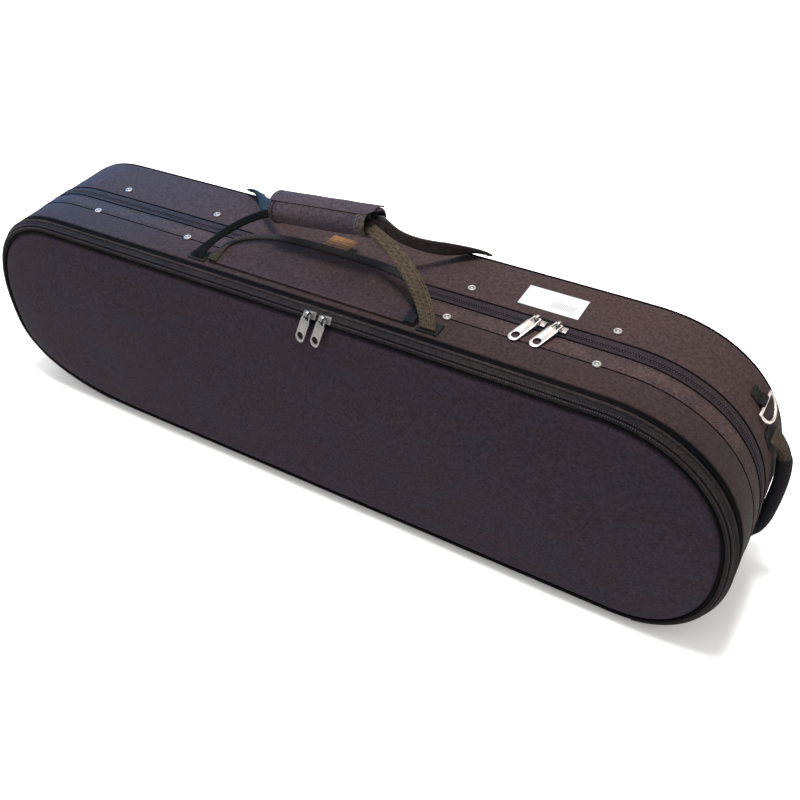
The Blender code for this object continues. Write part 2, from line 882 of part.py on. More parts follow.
def grip_pad(name, axis, end, toward, split, from_parting, sinks, opens, opens_half, other, other_half):
    """Half of the padded wrap, with the slot for the loop's band, which opens towards the wrap's split."""
    rings = []
    for x, rounded in (
        (grip_left, grip_end_round),
        (grip_left + grip_end_round, 0),
        (end - grip_end_round, 0),
        (end, grip_end_round),
    ):
        way = (x - grip_left) / (grip_right - grip_left)
        deep = grip_half_depths[0] + (grip_half_depths[1] - grip_half_depths[0]) * way - rounded
        tall = grip_half_heights[0] + (grip_half_heights[1] - grip_half_heights[0]) * way - rounded
        middle = grip_height(x)
        points = []
        for degrees in range(-80, 81, 20):
            angle = math.radians(degrees)
            away = toward * deep * math.cos(angle)
            points.append(Vector((x, split - away, middle + tall * math.sin(angle))))
        points.append(Vector((x, split, middle + tall)))
        slot = []
        for sign in (-1, 1):
            inner = grip_spot(x, from_parting, sinks)
            inner += other * (other_half + gap) * sign - opens * (opens_half + gap)
            slot.append((inner + opens * ((split - inner.y) / opens.y), inner))
        slot.sort(key=lambda pair: -pair[0].z)
        points += [slot[0][0], slot[0][1], slot[1][1], slot[1][0]]
        points.append(Vector((x, split, middle - tall)))
        rings.append(points)
    loft(name, rings, fabric, origin=axis)


carrying_loop(
    "handle_front_strap",
    front_axis,
    front_grip_strap_from_parting,
    front_strap_sinks,
    front_strap_lean_angle,
    {"left": front_base_left, "right": front_base_right},
    grip_right,
    front_leg_shares,
    front_grip_strap_width,
)
carrying_loop(
    "handle_back_strap",
    back_axis,
    back_grip_strap_from_parting,
    back_strap_sinks,
    back_strap_lean_angle,
    {"left": back_base_left, "right": back_base_right},
    back_grip_right,
    back_leg_shares,
    back_grip_strap_width,
)
front_wide, front_thick = band_frame(front_strap_lean_angle)
back_wide, back_thick = band_frame(back_strap_lean_angle)
grip_pad(
    "grip_front_pad",
    front_axis,
    grip_right,
    1,
    grip_split,
    front_grip_strap_from_parting,
    front_strap_sinks,
    front_wide,
    front_grip_strap_width / 2,
    front_thick,
    strap_thickness / 2,
)
grip_pad(
    "grip_back_pad",
    back_axis,
    back_grip_right,
    -1,
    grip_split + gap,
    back_grip_strap_from_parting,
    back_strap_sinks,
    back_thick,
    strap_thickness / 2,
    back_wide,
    back_grip_strap_width / 2,
)
for side, middle in (("left", front_base_left), ("right", front_base_right)):
    base = box(
        middle - strap_base_width / 2,
        middle + strap_base_width / 2,
        -front_base_from_parting - strap_thickness,
        -front_base_from_parting - strap_thickness + anchor_length,
    )
    prism(
        f"handle_anchor_front_{side}",
        base,
        top_height(middle) + gap,
        top_height(middle) + gap + anchor_thickness,
        webbing,
        axis=2,
    )
for side, middle in (("left", back_base_left), ("right", back_base_right)):
    base = box(
        middle - strap_base_width / 2,
        middle + strap_base_width / 2,
        case_height - back_edge_radius - crown_drop - anchor_length,
        case_height - back_edge_radius - crown_drop,
    )
    prism(
        f"handle_anchor_back_{side}",
        base,
        back_depth + gap,
        back_depth + gap + anchor_thickness,
        webbing,
    )

# Padded flap over the zip, under the grip
flap_middle = (flap_left + flap_right) / 2
flap_half = (flap_right - flap_left) / 2
flap_foot = case_height + gap
flap_rings = []
for step in range(15):
    turn = math.cos(math.pi * step / 14)
    x = flap_middle - flap_half * turn
    deep = flap_end + (flap_reach - flap_end) * (1 - abs(turn) ** flap_power) ** (1 / flap_power)
    swell = (deep - flap_end) / (flap_reach - flap_end)
    under = []
    over = []
    for k in range(5):
        share = k / 4
        y = -flap_front + share * deep
        foot = flap_foot + flap_rise * share * swell
        thick = flap_edge_thickness + (flap_thickness - flap_edge_thickness) * math.sin(math.pi * share)
        under.append(Vector((x, y, foot)))
        over.append(Vector((x, y, foot + thick)))
    flap_rings.append(under + over[::-1])
loft("flap", flap_rings, fabric)
tab_edge = flap_reach - flap_front
gold_foot = flap_foot + flap_rise + flap_edge_thickness + gap
prism(
    "gold_tab",
    box(
        gold_tab_from_middle - gold_tab_width / 2,
        gold_tab_from_middle + gold_tab_width / 2,
        tab_edge - gold_tab_seam,
        tab_edge - gold_tab_seam + gold_tab_length,
    ),
    gold_foot,
    gold_foot + gold_tab_thickness,
    gold,
    axis=2,
)

# Rivets: each a low cup with a rolled rim
for row, from_parting in (("front", -hem_edge), ("back", back_rivet_from_parting)):
    for number, x in enumerate(rivet_positions, 1):
        foot = top_height(x) + gap
        profile = [
            (rivet_radius, 0),
            (rivet_radius, rivet_height * 2 / 3),
            (rivet_radius - rivet_rim / 2, rivet_height),
            (rivet_radius - rivet_rim, rivet_height),
            (rivet_radius / 2, rivet_height - rivet_dimple_depth),
        ]
        rings = []
        for radius, rise in profile:
            rings.append([
                Vector((x + a, from_parting + b, foot + rise)) for a, b in circle((0, 0), radius, 16)
            ])
        loft(f"{row}_rivet_{number}", rings, nickel)

label = prism(
    "sticker",
    box(-sticker_length / 2, sticker_length / 2, -sticker_width / 2, sticker_width / 2),
    gap,
    gap + sticker_thickness,
    white,
    axis=2,
)
label.location = (sticker_middle, sticker_from_parting, top_height(sticker_middle))
label.rotation_euler = (0, -math.atan(top_slope(sticker_middle)), 0)


def zip_slider(name, length, at, tilt, turn):
    """A slider whose lug holds the pull. Returns the matrix from the lug's frame to the world."""
    slider = prism(
        name,
        [
            (-length / 2, -slider_half_width + slider_taper),
            (0, -slider_half_width),
            (length / 2, -slider_half_width),
            (length / 2, slider_half_width),
            (0, slider_half_width),
            (-length / 2, slider_half_width - slider_taper),
        ],
        0,
        slider_height,
        dark_metal,
        axis=2,
    )
    lug_shape = arc((0, pull_axis_height), lug_radius, -30, 210, 12)
    lug_shape += [(-lug_radius * 3 / 4, slider_height / 2), (lug_radius * 3 / 4, slider_height / 2)]
    lug = prism(f"{name}_lug", lug_shape, -lug_width / 2, lug_width / 2, None, axis=0, cutter=True)
    eye = prism(
        f"{name}_eye",
        circle((0, pull_axis_height), lug_eye, 12),
        -lug_width,
        lug_width,
        None,
        axis=0,
        cutter=True,
    )
    frame = Matrix.Translation(at) @ Matrix.Rotation(math.radians(tilt), 4, "X")
    turned = frame @ Matrix.Rotation(math.radians(turn), 4, "Z")
    slider.matrix_world = frame
    lug.matrix_world = turned
    eye.matrix_world = turned
    combine(slider, lug, "UNION")
    combine(slider, eye, "DIFFERENCE")
    return turned @ Matrix.Translation((0, 0, pull_axis_height))


def zip_pull(name, frame, angle):
    """A flat pull that hangs by its root bar: the window takes the lug, the round hole is near the tip."""
    half = pull_width / 2
    tip = pull_root / 2 - pull_length
    shape = [(half * 0.8, pull_root / 2), (half * 0.8, -pull_window)]
    shape += [(half, -pull_window - pull_root), (half, tip + half)]
    shape += [(x, y) for x, y in arc((0, tip + half), half, -15, -165, 8)]
    shape += [(-half, tip + half), (-half, -pull_window - pull_root)]
    shape += [(-half * 0.8, -pull_window), (-half * 0.8, pull_root / 2)]
    pull = prism(name, shape, -pull_thickness / 2, pull_thickness / 2, nickel, axis=2)
    window_half = pull_width / 2 - pull_window_rail
    window = prism(
        f"{name}_window",
        box(-window_half, window_half, -pull_root / 2 - pull_window, -pull_root / 2),
        -pull_thickness,
        pull_thickness,
        None,
        axis=2,
        cutter=True,
    )
    hole = prism(
        f"{name}_hole",
        circle((0, tip + pull_hole_from_tip), pull_hole_radius, 16),
        -pull_thickness,
        pull_thickness,
        None,
        axis=2,
        cutter=True,
    )
    hung = frame @ Matrix.Rotation(math.radians(angle), 4, "X")
    for part in (pull, window, hole):
        part.matrix_world = hung
    combine(pull, window, "DIFFERENCE")
    combine(pull, hole, "DIFFERENCE")


slider_foot = coil_rise + gap
droop = (slider_foot + pull_axis_height - pull_thickness / 2 - main_pull_clear) / (pull_length - pull_root)
for side, x_share in zip(("left", "right"), main_slider_shares):
    x = x_share * case_length
    lug_frame = zip_slider(
        f"main_slider_{side}",
        main_slider_length,
        (x, 0, top_height(x) + slider_foot),
        0,
        -main_pull_turn,
    )
    zip_pull(f"main_pull_{side}", lug_frame, math.degrees(math.asin(droop)))

split_middle = (cover_end + lid_start) / 2
tilt = math.radians(pocket_slider_tilt)
for side, x_share in zip(("left", "right"), pocket_slider_shares):
    x = x_share * case_length
    foot = top_height(x) - split_middle.x
    edge = Vector((x, split_middle.y - swell_at(foot), foot))
    raised = edge + Vector((0, -math.sin(tilt), math.cos(tilt))) * pocket_slider_clear
    lug_frame = zip_slider(
        f"pocket_slider_{side}",
        pocket_slider_length,
        raised,
        pocket_slider_tilt,
        -pocket_pull_turn,
    )
    zip_pull(f"pocket_pull_{side}", lug_frame, 90 - pocket_pull_tilt - pocket_slider_tilt)


def d_ring(side, name, height):
    """A sewn tab with an eye along Y and the ring that hangs in it, lying back on the case's end."""
    middle, outward = end_point(side, height)
    down = Vector((outward.y, -outward.x)) * side
    bulge = dring_eye + dring_web
    eye = middle + outward * (gap + bulge)
    top = height + dring_tab_length
    shape = end_line(side, -gap, height + bulge, top)[::-1]
    for degrees in range(-90, 91, 30):
        angle = math.radians(degrees)
        shape.append(eye + (down * math.cos(angle) + outward * math.sin(angle)) * bulge)
    shape += end_line(side, -gap - dring_web, height + bulge * 2, top)
    low = dring_from_parting - dring_width / 2
    high = dring_from_parting + dring_width / 2
    tab = prism(f"dring_tab_{name}", shape, low, high, webbing)
    hole = prism(f"dring_eye_{name}", circle(eye, dring_eye, 12), 0, back_depth, None, cutter=True)
    combine(tab, hole, "DIFFERENCE")

    curve = bpy.data.curves.new(f"dring_{name}", "CURVE")
    curve.dimensions = "3D"
    curve.resolution_u = 1
    curve.bevel_depth = dring_wire
    curve.bevel_resolution = 1
    half = dring_width / 2 + dring_side
    spline = curve.splines.new("POLY")
    spline.points.add(10)
    for k, spot in enumerate(spline.points):
        angle = math.pi * k / 10
        fall = down * (dring_drop * math.sin(angle))
        spot.co = (fall.x, half * math.cos(angle), fall.y, 1)
    spline.use_cyclic_u = True
    hung = bpy.data.objects.new(f"dring_{name}", curve)
    hung.location = (eye.x, dring_from_parting, eye.y)
    place(hung, nickel)


d_ring(1, "right", dring_heights[0])
d_ring(-1, "left", dring_heights[1])

# End handle: flat sewn ends that swell into a padded grip standing off the case
web_lift = gap + end_tab_thickness + gap + end_web_thickness / 2
handle_path = []
for along, away, roundness in end_handle_shares:
    spot, outward = end_point(1, end_handle_top + (end_handle_bottom - end_handle_top) * along)
    handle_path.append((spot + outward * (web_lift + away * end_handle_clearance), roundness))
handle_rings = []
for k, (spot, roundness) in enumerate(handle_path):
    before = handle_path[max(k - 1, 0)][0]
    after = handle_path[min(k + 1, len(handle_path) - 1)][0]
    run = (after - before).normalized()
    across = Vector((run.y, -run.x))
    wide = end_web_half_width + (end_handle_radius - end_web_half_width) * roundness
    thick = end_web_thickness / 2 + (end_handle_radius - end_web_thickness / 2) * roundness
    one = []
    for degrees in range(0, 360, 36):
        angle = math.radians(degrees)
        shift = across * (thick * math.sin(angle))
        one.append(Vector((
            spot.x + shift.x, end_handle_from_parting + wide * math.cos(angle), spot.y + shift.y
        )))
    handle_rings.append(one)
loft("end_handle", handle_rings, webbing)
low = end_handle_from_parting - end_web_half_width
high = end_handle_from_parting + end_web_half_width
for name, height in (("top", end_handle_top), ("bottom", end_handle_bottom)):
    span = (height - end_tab_height / 2, height + end_tab_height / 2)
    shape = end_line(1, -gap, *span) + end_line(1, -gap - end_tab_thickness, *span)[::-1]
    prism(f"end_handle_tab_{name}", shape, low, high, webbing)
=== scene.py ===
"""Looks of the violin case: fabric shells, zips, padded carrying loops, metal fittings and the plush inside.

Metres, +Z up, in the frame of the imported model: origin on the floor, +X right end, -Y the pocket side.
"""

import json
import math

import bmesh
import bpy
from mathutils import Matrix, Vector, noise


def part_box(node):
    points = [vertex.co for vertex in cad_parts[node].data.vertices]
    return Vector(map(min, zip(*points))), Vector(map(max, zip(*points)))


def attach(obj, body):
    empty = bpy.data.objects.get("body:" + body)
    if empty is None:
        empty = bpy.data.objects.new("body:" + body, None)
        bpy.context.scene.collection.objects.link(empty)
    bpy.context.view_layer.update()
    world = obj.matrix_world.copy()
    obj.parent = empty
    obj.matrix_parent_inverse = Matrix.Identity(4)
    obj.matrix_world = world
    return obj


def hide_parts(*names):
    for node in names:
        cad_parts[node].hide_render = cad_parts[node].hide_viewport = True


MM = 0.001

# Outline and depths, as in the part
case_length = 798 * MM
case_height = 233 * MM
corner_power = 2.2305
right_nose_share = 0.4481
left_nose_share = 0.3498
right_top_share = 0.1551
left_top_share = 0.1486
right_bottom_share = 0.1104
left_bottom_share = 0.1977
crown_drop = 3.4 * MM
back_depth = 67.5 * MM
lid_depth = 55 * MM
front_face = -67.5 * MM
shell_wall = 4 * MM
back_edge_radius = 8 * MM
hem_edge = 24.3 * MM
back_band_width = 8 * MM
lid_zip_band_width = 6.6 * MM
tape_thickness = 1.2 * MM
gap = 0.3 * MM

# Pocket
pocket_swell = 4.5 * MM
swell_power = 4
panel_crown = 4 * MM
crown_reach = 16 * MM
panel_piping_inset = 10 * MM
piping_radius = 1.2 * MM
split_inset = 4.8 * MM

# Carrying loops, as in the part
strap_thickness = 2.5 * MM
strap_base_width = 19 * MM
front_base_from_parting = 47 * MM
grip_left = -44 * MM
grip_right = 55 * MM
back_grip_right = 62 * MM
grip_heights = (275.8 * MM, 286.2 * MM)
grip_half_depths = (14.5 * MM, 14 * MM)
grip_half_heights = (12.5 * MM, 12 * MM)
strap_run_out = 2 * MM
front_leg_shares = {
    "left": ((0.160, 0.352, 0.320), (0.510, 0.885, 0.760)),
    "right": ((0.068, 0.311, 0.318), (0.446, 0.742, 0.770)),
}
back_leg_shares = {
    "left": ((0.030, 0.060, 0.100), (0.600, 0.750, 0.400)),
    "right": ((0.040, 0.060, 0.100), (0.800, 0.780, 0.330)),
}

# Flap and end handle, as in the part
flap_left = -93 * MM
flap_right = 118 * MM
flap_front = 47 * MM
flap_reach = 57 * MM
flap_power = 3.0
flap_thickness = 4.5 * MM
flap_edge_thickness = 2.2 * MM
flap_rise = 5.5 * MM
flap_end = 10 * MM
end_handle_from_parting = 34 * MM
end_handle_radius = 6.2 * MM
end_handle_top = 164 * MM
end_handle_bottom = 40 * MM
end_handle_clearance = 10 * MM
end_web_half_width = 11 * MM
end_web_thickness = 2.4 * MM
end_handle_shares = (
    (0.00, 0.00, 0.0), (0.05, 0.40, 0.2), (0.11, 0.92, 0.8), (0.19, 1.00, 1.0), (0.28, 0.96, 1.0),
    (0.38, 0.83, 1.0), (0.50, 0.68, 1.0), (0.62, 0.62, 1.0), (0.74, 0.70, 1.0), (0.84, 0.76, 0.9),
    (0.91, 0.56, 0.5), (0.96, 0.26, 0.1), (1.00, 0.00, 0.0),
)

half_length = case_length / 2
seat = -lid_depth - gap
ridge_front = front_face + 7.3 * MM
ridge_back = ridge_front + 2.4 * MM
bottom_angles = (90, 87, 84, 81, 78, 77.7) + tuple(range(75, -1, -3))
top_angles = tuple(range(3, 91, 3))
top_steps = 24
bottom_steps = 16
zip_first = 5
outlines = {}

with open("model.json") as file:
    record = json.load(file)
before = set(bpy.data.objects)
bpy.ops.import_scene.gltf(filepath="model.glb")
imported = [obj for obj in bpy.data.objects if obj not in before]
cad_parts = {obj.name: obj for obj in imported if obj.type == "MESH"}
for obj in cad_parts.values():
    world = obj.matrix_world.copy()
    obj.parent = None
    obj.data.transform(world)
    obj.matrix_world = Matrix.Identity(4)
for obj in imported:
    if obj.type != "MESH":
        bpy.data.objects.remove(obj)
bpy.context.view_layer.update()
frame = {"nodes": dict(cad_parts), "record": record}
home = {}
for body_name, members in frame["record"]["behaviour"]["bodies"].items():
    for member in members:
        home[member] = body_name


def crown_at(x, z):
    weight = min(max((z - case_height / 2) / (case_height / 2), 0), 1)
    return crown_drop * (x / half_length) ** 2 * weight


def corner_point(side, long, nose, flat, degrees):
    angle = math.radians(degrees)
    power = 2 / corner_power
    x = side * (half_length - long + long * max(math.cos(angle), 0) ** power)
    z = nose + (flat - nose) * max(math.sin(angle), 0) ** power
    return Vector((x, z - crown_at(x, z)))


def corner(side, long, nose, flat, angles):
    found = []
    for degrees in angles:
        low = max(degrees - 0.05, 0)
        high = min(degrees + 0.05, 90)
        run = corner_point(side, long, nose, flat, high) - corner_point(side, long, nose, flat, low)
        found.append((corner_point(side, long, nose, flat, degrees), run.normalized()))
    return found


def outline(inset):
    """(x, z) points round the case moved in by inset, from the right end of the flat bottom over the top."""
    if inset in outlines:
        return outlines[inset]
    right_nose = right_nose_share * case_height
    left_nose = left_nose_share * case_height
    right_start = half_length - right_top_share * case_length
    left_start = -half_length + left_top_share * case_length
    rows = corner(1, right_bottom_share * case_length, right_nose, 0, bottom_angles)
    rows += corner(1, right_top_share * case_length, right_nose, case_height, top_angles)
    for k in range(1, top_steps):
        x = right_start + (left_start - right_start) * k / top_steps
        slope = -2 * crown_drop * x / half_length**2
        rows.append((Vector((x, case_height - crown_at(x, case_height))), Vector((1, slope)).normalized()))
    rows += corner(-1, left_top_share * case_length, left_nose, case_height, top_angles[::-1])
    rows += corner(-1, left_bottom_share * case_length, left_nose, 0, bottom_angles[::-1])
    flat_left = -half_length + left_bottom_share * case_length
    flat_right = half_length - right_bottom_share * case_length
    for k in range(1, bottom_steps):
        rows.append((Vector((flat_left + (flat_right - flat_left) * k / bottom_steps, 0)), Vector((1, 0))))
    middle = Vector((0, case_height / 2))
    moved = []
    for point, run in rows:
        inward = Vector((-run.y, run.x))
        if inward.dot(middle - point) < 0:
            inward = -inward
        moved.append(point + inward * inset)
    outlines[inset] = moved
    return moved


def ring(inset, y):
    return [Vector((x, y, z)) for x, z in outline(inset)]


def swell_at(z):
    """How far the pocket stands forward of its place at the top: it is fuller lower down."""
    return pocket_swell * (1 - min(max(z / case_height, 0), 1) ** swell_power)


def pocket_ring(inset, y):
    share = min(max((seat - y) / (seat - ridge_back), 0), 1)
    return [Vector((p.x, p.y - swell_at(p.z) * share, p.z)) for p in ring(inset, y)]


points_round = len(outline(0))
corner_end = points_round - bottom_steps
zip_span = range(zip_first, corner_end - zip_first + 1)
spine_span = list(range(corner_end - zip_first + 1, points_round)) + list(range(zip_first))


def top_height(x):
    return case_height - crown_at(x, case_height)


# Materials

class Shader:
    """Small helper that adds nodes to one material and links them."""

    def __init__(self, name, roughness, metallic=0.0, sheen=0.0, specular=0.5):
        self.material = bpy.data.materials.new(name)
        self.material.use_nodes = True
        self.tree = self.material.node_tree
        self.base = self.tree.nodes["Principled BSDF"]
        self.base.inputs["Roughness"].default_value = roughness
        self.base.inputs["Metallic"].default_value = metallic
        self.base.inputs["Sheen Weight"].default_value = sheen
        self.base.inputs["Specular IOR Level"].default_value = specular

    def add(self, kind, **values):
        node = self.tree.nodes.new(kind)
        for key, value in values.items():
            setattr(node, key, value)
        return node

    def link(self, out, into):
        self.tree.links.new(out, into)

    def coordinates(self, source):
        return self.add("ShaderNodeTexCoord").outputs[source]

    def math(self, operation, first, second=None):
        node = self.add("ShaderNodeMath", operation=operation)
        for index, value in enumerate((first, second)):
            if value is None:
                continue
            if isinstance(value, (int, float)):
                node.inputs[index].default_value = value
            else:
                self.link(value, node.inputs[index])
        return node.outputs[0]

    def noise(self, source, scale, detail=3.0):
        node = self.add("ShaderNodeTexNoise")
        node.inputs["Scale"].default_value = scale
        node.inputs["Detail"].default_value = detail
        self.link(source, node.inputs["Vector"])
        return node.outputs["Fac"]

    def ramp(self, factor, stops):
        node = self.add("ShaderNodeValToRGB")
        marks = node.color_ramp.elements
        while len(marks) < len(stops):
            marks.new(0.5)
        for mark, (place, color) in zip(marks, stops):
            mark.position = place
            mark.color = (*color, 1)
        self.link(factor, node.inputs["Fac"])
        return node.outputs["Color"]

    def mix(self, factor, first, second, blend="MIX"):
        node = self.add("ShaderNodeMix", data_type="RGBA", blend_type=blend)
        if isinstance(factor, (int, float)):
            node.inputs["Factor"].default_value = factor
        else:
            self.link(factor, node.inputs["Factor"])
        for name, value in (("A", first), ("B", second)):
            into = [s for s in node.inputs if s.name == name and s.type == "RGBA"][0]
            if isinstance(value, tuple):
                into.default_value = (*value, 1)
            else:
                self.link(value, into)
        return [s for s in node.outputs if s.type == "RGBA"][0]

    def color(self, out):
        self.link(out, self.base.inputs["Base Color"])

    def roughness(self, out):
        self.link(out, self.base.inputs["Roughness"])

    def bump(self, height, distance, strength=1.0):
        node = self.add("ShaderNodeBump")
        node.inputs["Distance"].default_value = distance
        node.inputs["Strength"].default_value = strength
        self.link(height, node.inputs["Height"])
        self.link(node.outputs["Normal"], self.base.inputs["Normal"])


def weave_height(shader, source, pitch, first="X", second="Y"):
    """Plain weave: raised where warp and weft cross in turn."""
    split = shader.add("ShaderNodeSeparateXYZ")
    shader.link(source, split.inputs[0])
    waves = []
    for axis in (first, second):
        turned = shader.math("MULTIPLY", split.outputs[axis], math.pi / pitch)
        waves.append(shader.math("SINE", turned))
    return shader.math("MULTIPLY", waves[0], waves[1])


def ribs_height(shader, source, pitch, axis):
    split = shader.add("ShaderNodeSeparateXYZ")
    shader.link(source, split.inputs[0])
    return shader.math("SINE", shader.math("MULTIPLY", split.outputs[axis], 2 * math.pi / pitch))


def fabric(name, cool, warm, pitch, source="UV", axes=("X", "Y"), depth=0.25, blotch=14.0, sheen=0.0,
           roughness=0.9, specular=0.12, ribs=0.0, rib_axis="Y", wear=0.2, fade=None):
    """Woven cloth: weave bump, cool and warm blotches, yarn specks, ribs where asked and paler worn edges.

    fade gives two places along X between which the cloth turns to a second pair of colours; on the walls, hem, zip and
    carrying loops it paints light and shade that change along the case.
    """
    shader = Shader(name, roughness, sheen=sheen, specular=specular)
    space = shader.coordinates("Object")
    surface = shader.coordinates(source)
    slow = shader.noise(space, blotch, 4.0)
    body = shader.ramp(slow, [(0.36, cool), (0.64, warm)])
    if fade:
        start, end, *other = fade
        split = shader.add("ShaderNodeSeparateXYZ")
        shader.link(space, split.inputs[0])
        way = shader.math("DIVIDE", shader.math("SUBTRACT", split.outputs["X"], start), end - start)
        way = shader.math("MINIMUM", shader.math("MAXIMUM", way, 0.0), 1.0)
        body = shader.mix(way, body, shader.ramp(slow, [(0.36, other[0]), (0.64, other[1])]))
    weave = weave_height(shader, surface, pitch, *axes)
    specks = shader.noise(space, 380.0, 3.0)
    shade = shader.math("ADD", shader.math("MULTIPLY", specks, 1.7), 0.15)
    shade = shader.math("ADD", shade, shader.math("MULTIPLY", weave, 0.18))
    height = weave
    if ribs:
        wave = ribs_height(shader, surface, ribs, rib_axis)
        shade = shader.math("ADD", shade, shader.math("MULTIPLY", wave, 0.28))
        height = shader.math("ADD", weave, shader.math("MULTIPLY", wave, 1.6))
    body = shader.mix(1.0, body, shade, "MULTIPLY")
    edges = shader.add("ShaderNodeNewGeometry").outputs["Pointiness"]
    edges = shader.math("MULTIPLY", shader.math("SUBTRACT", edges, 0.53), 4.0)
    edges = shader.math("MINIMUM", shader.math("MAXIMUM", edges, 0.0), wear)
    body = shader.mix(edges, body, tuple(min(c * 2.0, 1) for c in warm))
    shader.color(body)
    shader.roughness(shader.math("ADD", shader.math("MULTIPLY", slow, 0.12), roughness - 0.06))
    shader.bump(height, pitch * depth, 0.6)
    return shader.material


def metal(name, color, roughness, scratch=0.06):
    shader = Shader(name, roughness, metallic=1.0)
    space = shader.coordinates("Object")
    smear = shader.noise(space, 120.0, 5.0)
    fine = shader.noise(space, 1500.0, 2.0)
    shader.color(shader.ramp(smear, [(0.3, tuple(c * 0.8 for c in color)), (0.7, color)]))
    shader.roughness(shader.math("ADD", shader.math("MULTIPLY", smear, scratch * 3), roughness))
    shader.bump(fine, 0.02 * MM, 0.5)
    return shader.material


def fuzzy(name, dark, light, clumps=60.0, pile_size=1400.0, sheen=0.4, depth=0.5):
    """Pile cloth: soft clumps, fine pile bump and sheen."""
    shader = Shader(name, 0.95, sheen=sheen, specular=0.1)
    space = shader.coordinates("Object")
    clump = shader.noise(space, clumps, 4.0)
    pile = shader.noise(space, pile_size, 2.0)
    body = shader.ramp(clump, [(0.35, dark), (0.65, light)])
    body = shader.mix(shader.math("MULTIPLY", pile, 0.5), body, tuple(c * 0.5 for c in dark))
    shader.color(body)
    shader.bump(shader.math("ADD", pile, clump), depth * MM, 0.5)
    return shader.material


def label_paper(name):
    """White paper with evenly spaced plain bars over part of it."""
    shader = Shader(name, 0.55)
    space = shader.coordinates("Object")
    grain = shader.noise(space, 600.0, 3.0)
    paper = shader.ramp(grain, [(0.3, (0.31, 0.31, 0.31)), (0.7, (0.34, 0.34, 0.34))])
    split = shader.add("ShaderNodeSeparateXYZ")
    shader.link(space, split.inputs[0])
    bars = shader.math("SINE", shader.math("MULTIPLY", split.outputs["X"], 2 * math.pi / (1.5 * MM)))
    inside = shader.math("GREATER_THAN", bars, 0.1)
    for operation, axis, edge in (
        ("GREATER_THAN", "Y", 24), ("LESS_THAN", "Y", 32.5), ("GREATER_THAN", "X", 204), ("LESS_THAN", "X", 224),
    ):
        inside = shader.math("MULTIPLY", inside, shader.math(operation, split.outputs[axis], edge * MM))
    shader.color(shader.mix(shader.math("MULTIPLY", inside, 0.55), paper, (0.10, 0.09, 0.10)))
    shader.bump(grain, 0.05 * MM, 0.4)
    return shader.material


# Same fabric as the pocket face: this lighter copy is painted light on the top walls, and the fade from bluish at the
# left end to brown paints the cool light at that end and warmer light further right.
wall_cloth_painted_light = fabric(
    "wall_cloth_painted_light", (0.0205, 0.0190, 0.0265), (0.0235, 0.0200, 0.0245), 0.8 * MM,
    fade=(-0.33, 0.0, (0.0265, 0.0168, 0.0175), (0.0300, 0.0178, 0.0163))
)
# The fade from bluish at the left end to brown is painted light: cool light at that end, warmer light further right.
front_cloth = fabric(
    "front_cloth", (0.0170, 0.0160, 0.0215), (0.0195, 0.0170, 0.0200), 0.8 * MM,
    fade=(-0.33, 0.0, (0.0185, 0.0117, 0.0122), (0.022, 0.0128, 0.0122))
)
# Same fabric as the walls: this darker copy is painted shade on the upright pocket face.
panel_cloth_painted_shade = fabric(
    "panel_cloth_painted_shade", (0.0136, 0.0100, 0.0176), (0.0170, 0.0102, 0.0146), 0.8 * MM, "Object", ("X", "Z"), blotch=45.0
)
# The fade from bluish at the left end to brown is painted light: cool light at that end, warmer light further right.
hem_cloth = fabric(
    "hem_cloth", (0.019, 0.021, 0.029), (0.023, 0.022, 0.027), 1.0 * MM, depth=0.3, blotch=40.0,
    fade=(-0.33, 0.0, (0.026, 0.0175, 0.018), (0.038, 0.0245, 0.023))
)
ridge_cloth = fabric("ridge_cloth", (0.013, 0.0105, 0.0122), (0.024, 0.018, 0.0172), 0.6 * MM, ribs=2.2 * MM)
tape_cloth = fabric(
    "tape_cloth", (0.006, 0.0056, 0.0066), (0.0125, 0.0100, 0.0098), 0.6 * MM, blotch=24.0, ribs=1.5 * MM
)
binding_cloth = fabric("binding_cloth", (0.007, 0.007, 0.008), (0.013, 0.012, 0.011), 0.8 * MM, depth=0.3)
cord_cloth = fabric("cord_cloth", (0.0014, 0.0014, 0.002), (0.003, 0.0025, 0.0028), 0.8 * MM, specular=0.03, wear=0.05)
# The fade from bluish at the left end to brown is painted light: cool light at that end, warmer light further right.
zip_cloth = fabric(
    "zip_cloth", (0.011, 0.014, 0.020), (0.015, 0.016, 0.021), 0.5 * MM, depth=0.15, ribs=1.7 * MM, wear=0.1,
    fade=(-0.33, 0.0, (0.012, 0.0085, 0.0115), (0.018, 0.0120, 0.0135))
)
coil_plastic = fabric(
    "coil_plastic", (0.012, 0.009, 0.012), (0.018, 0.013, 0.015), 0.4 * MM, "Object", depth=0.1, roughness=0.5
)
# Near-black on the left, turning brown to the right: the black left leg is painted shade on the strap's shaded side.
front_webbing = fabric(
    "front_webbing", (0.0015, 0.0016, 0.002), (0.004, 0.0045, 0.005), 0.6 * MM, depth=0.12, ribs=2.1 * MM, roughness=0.8,
    specular=0.03, wear=0.1, fade=(-0.02, 0.06, (0.031, 0.024, 0.017), (0.048, 0.037, 0.0265))
)
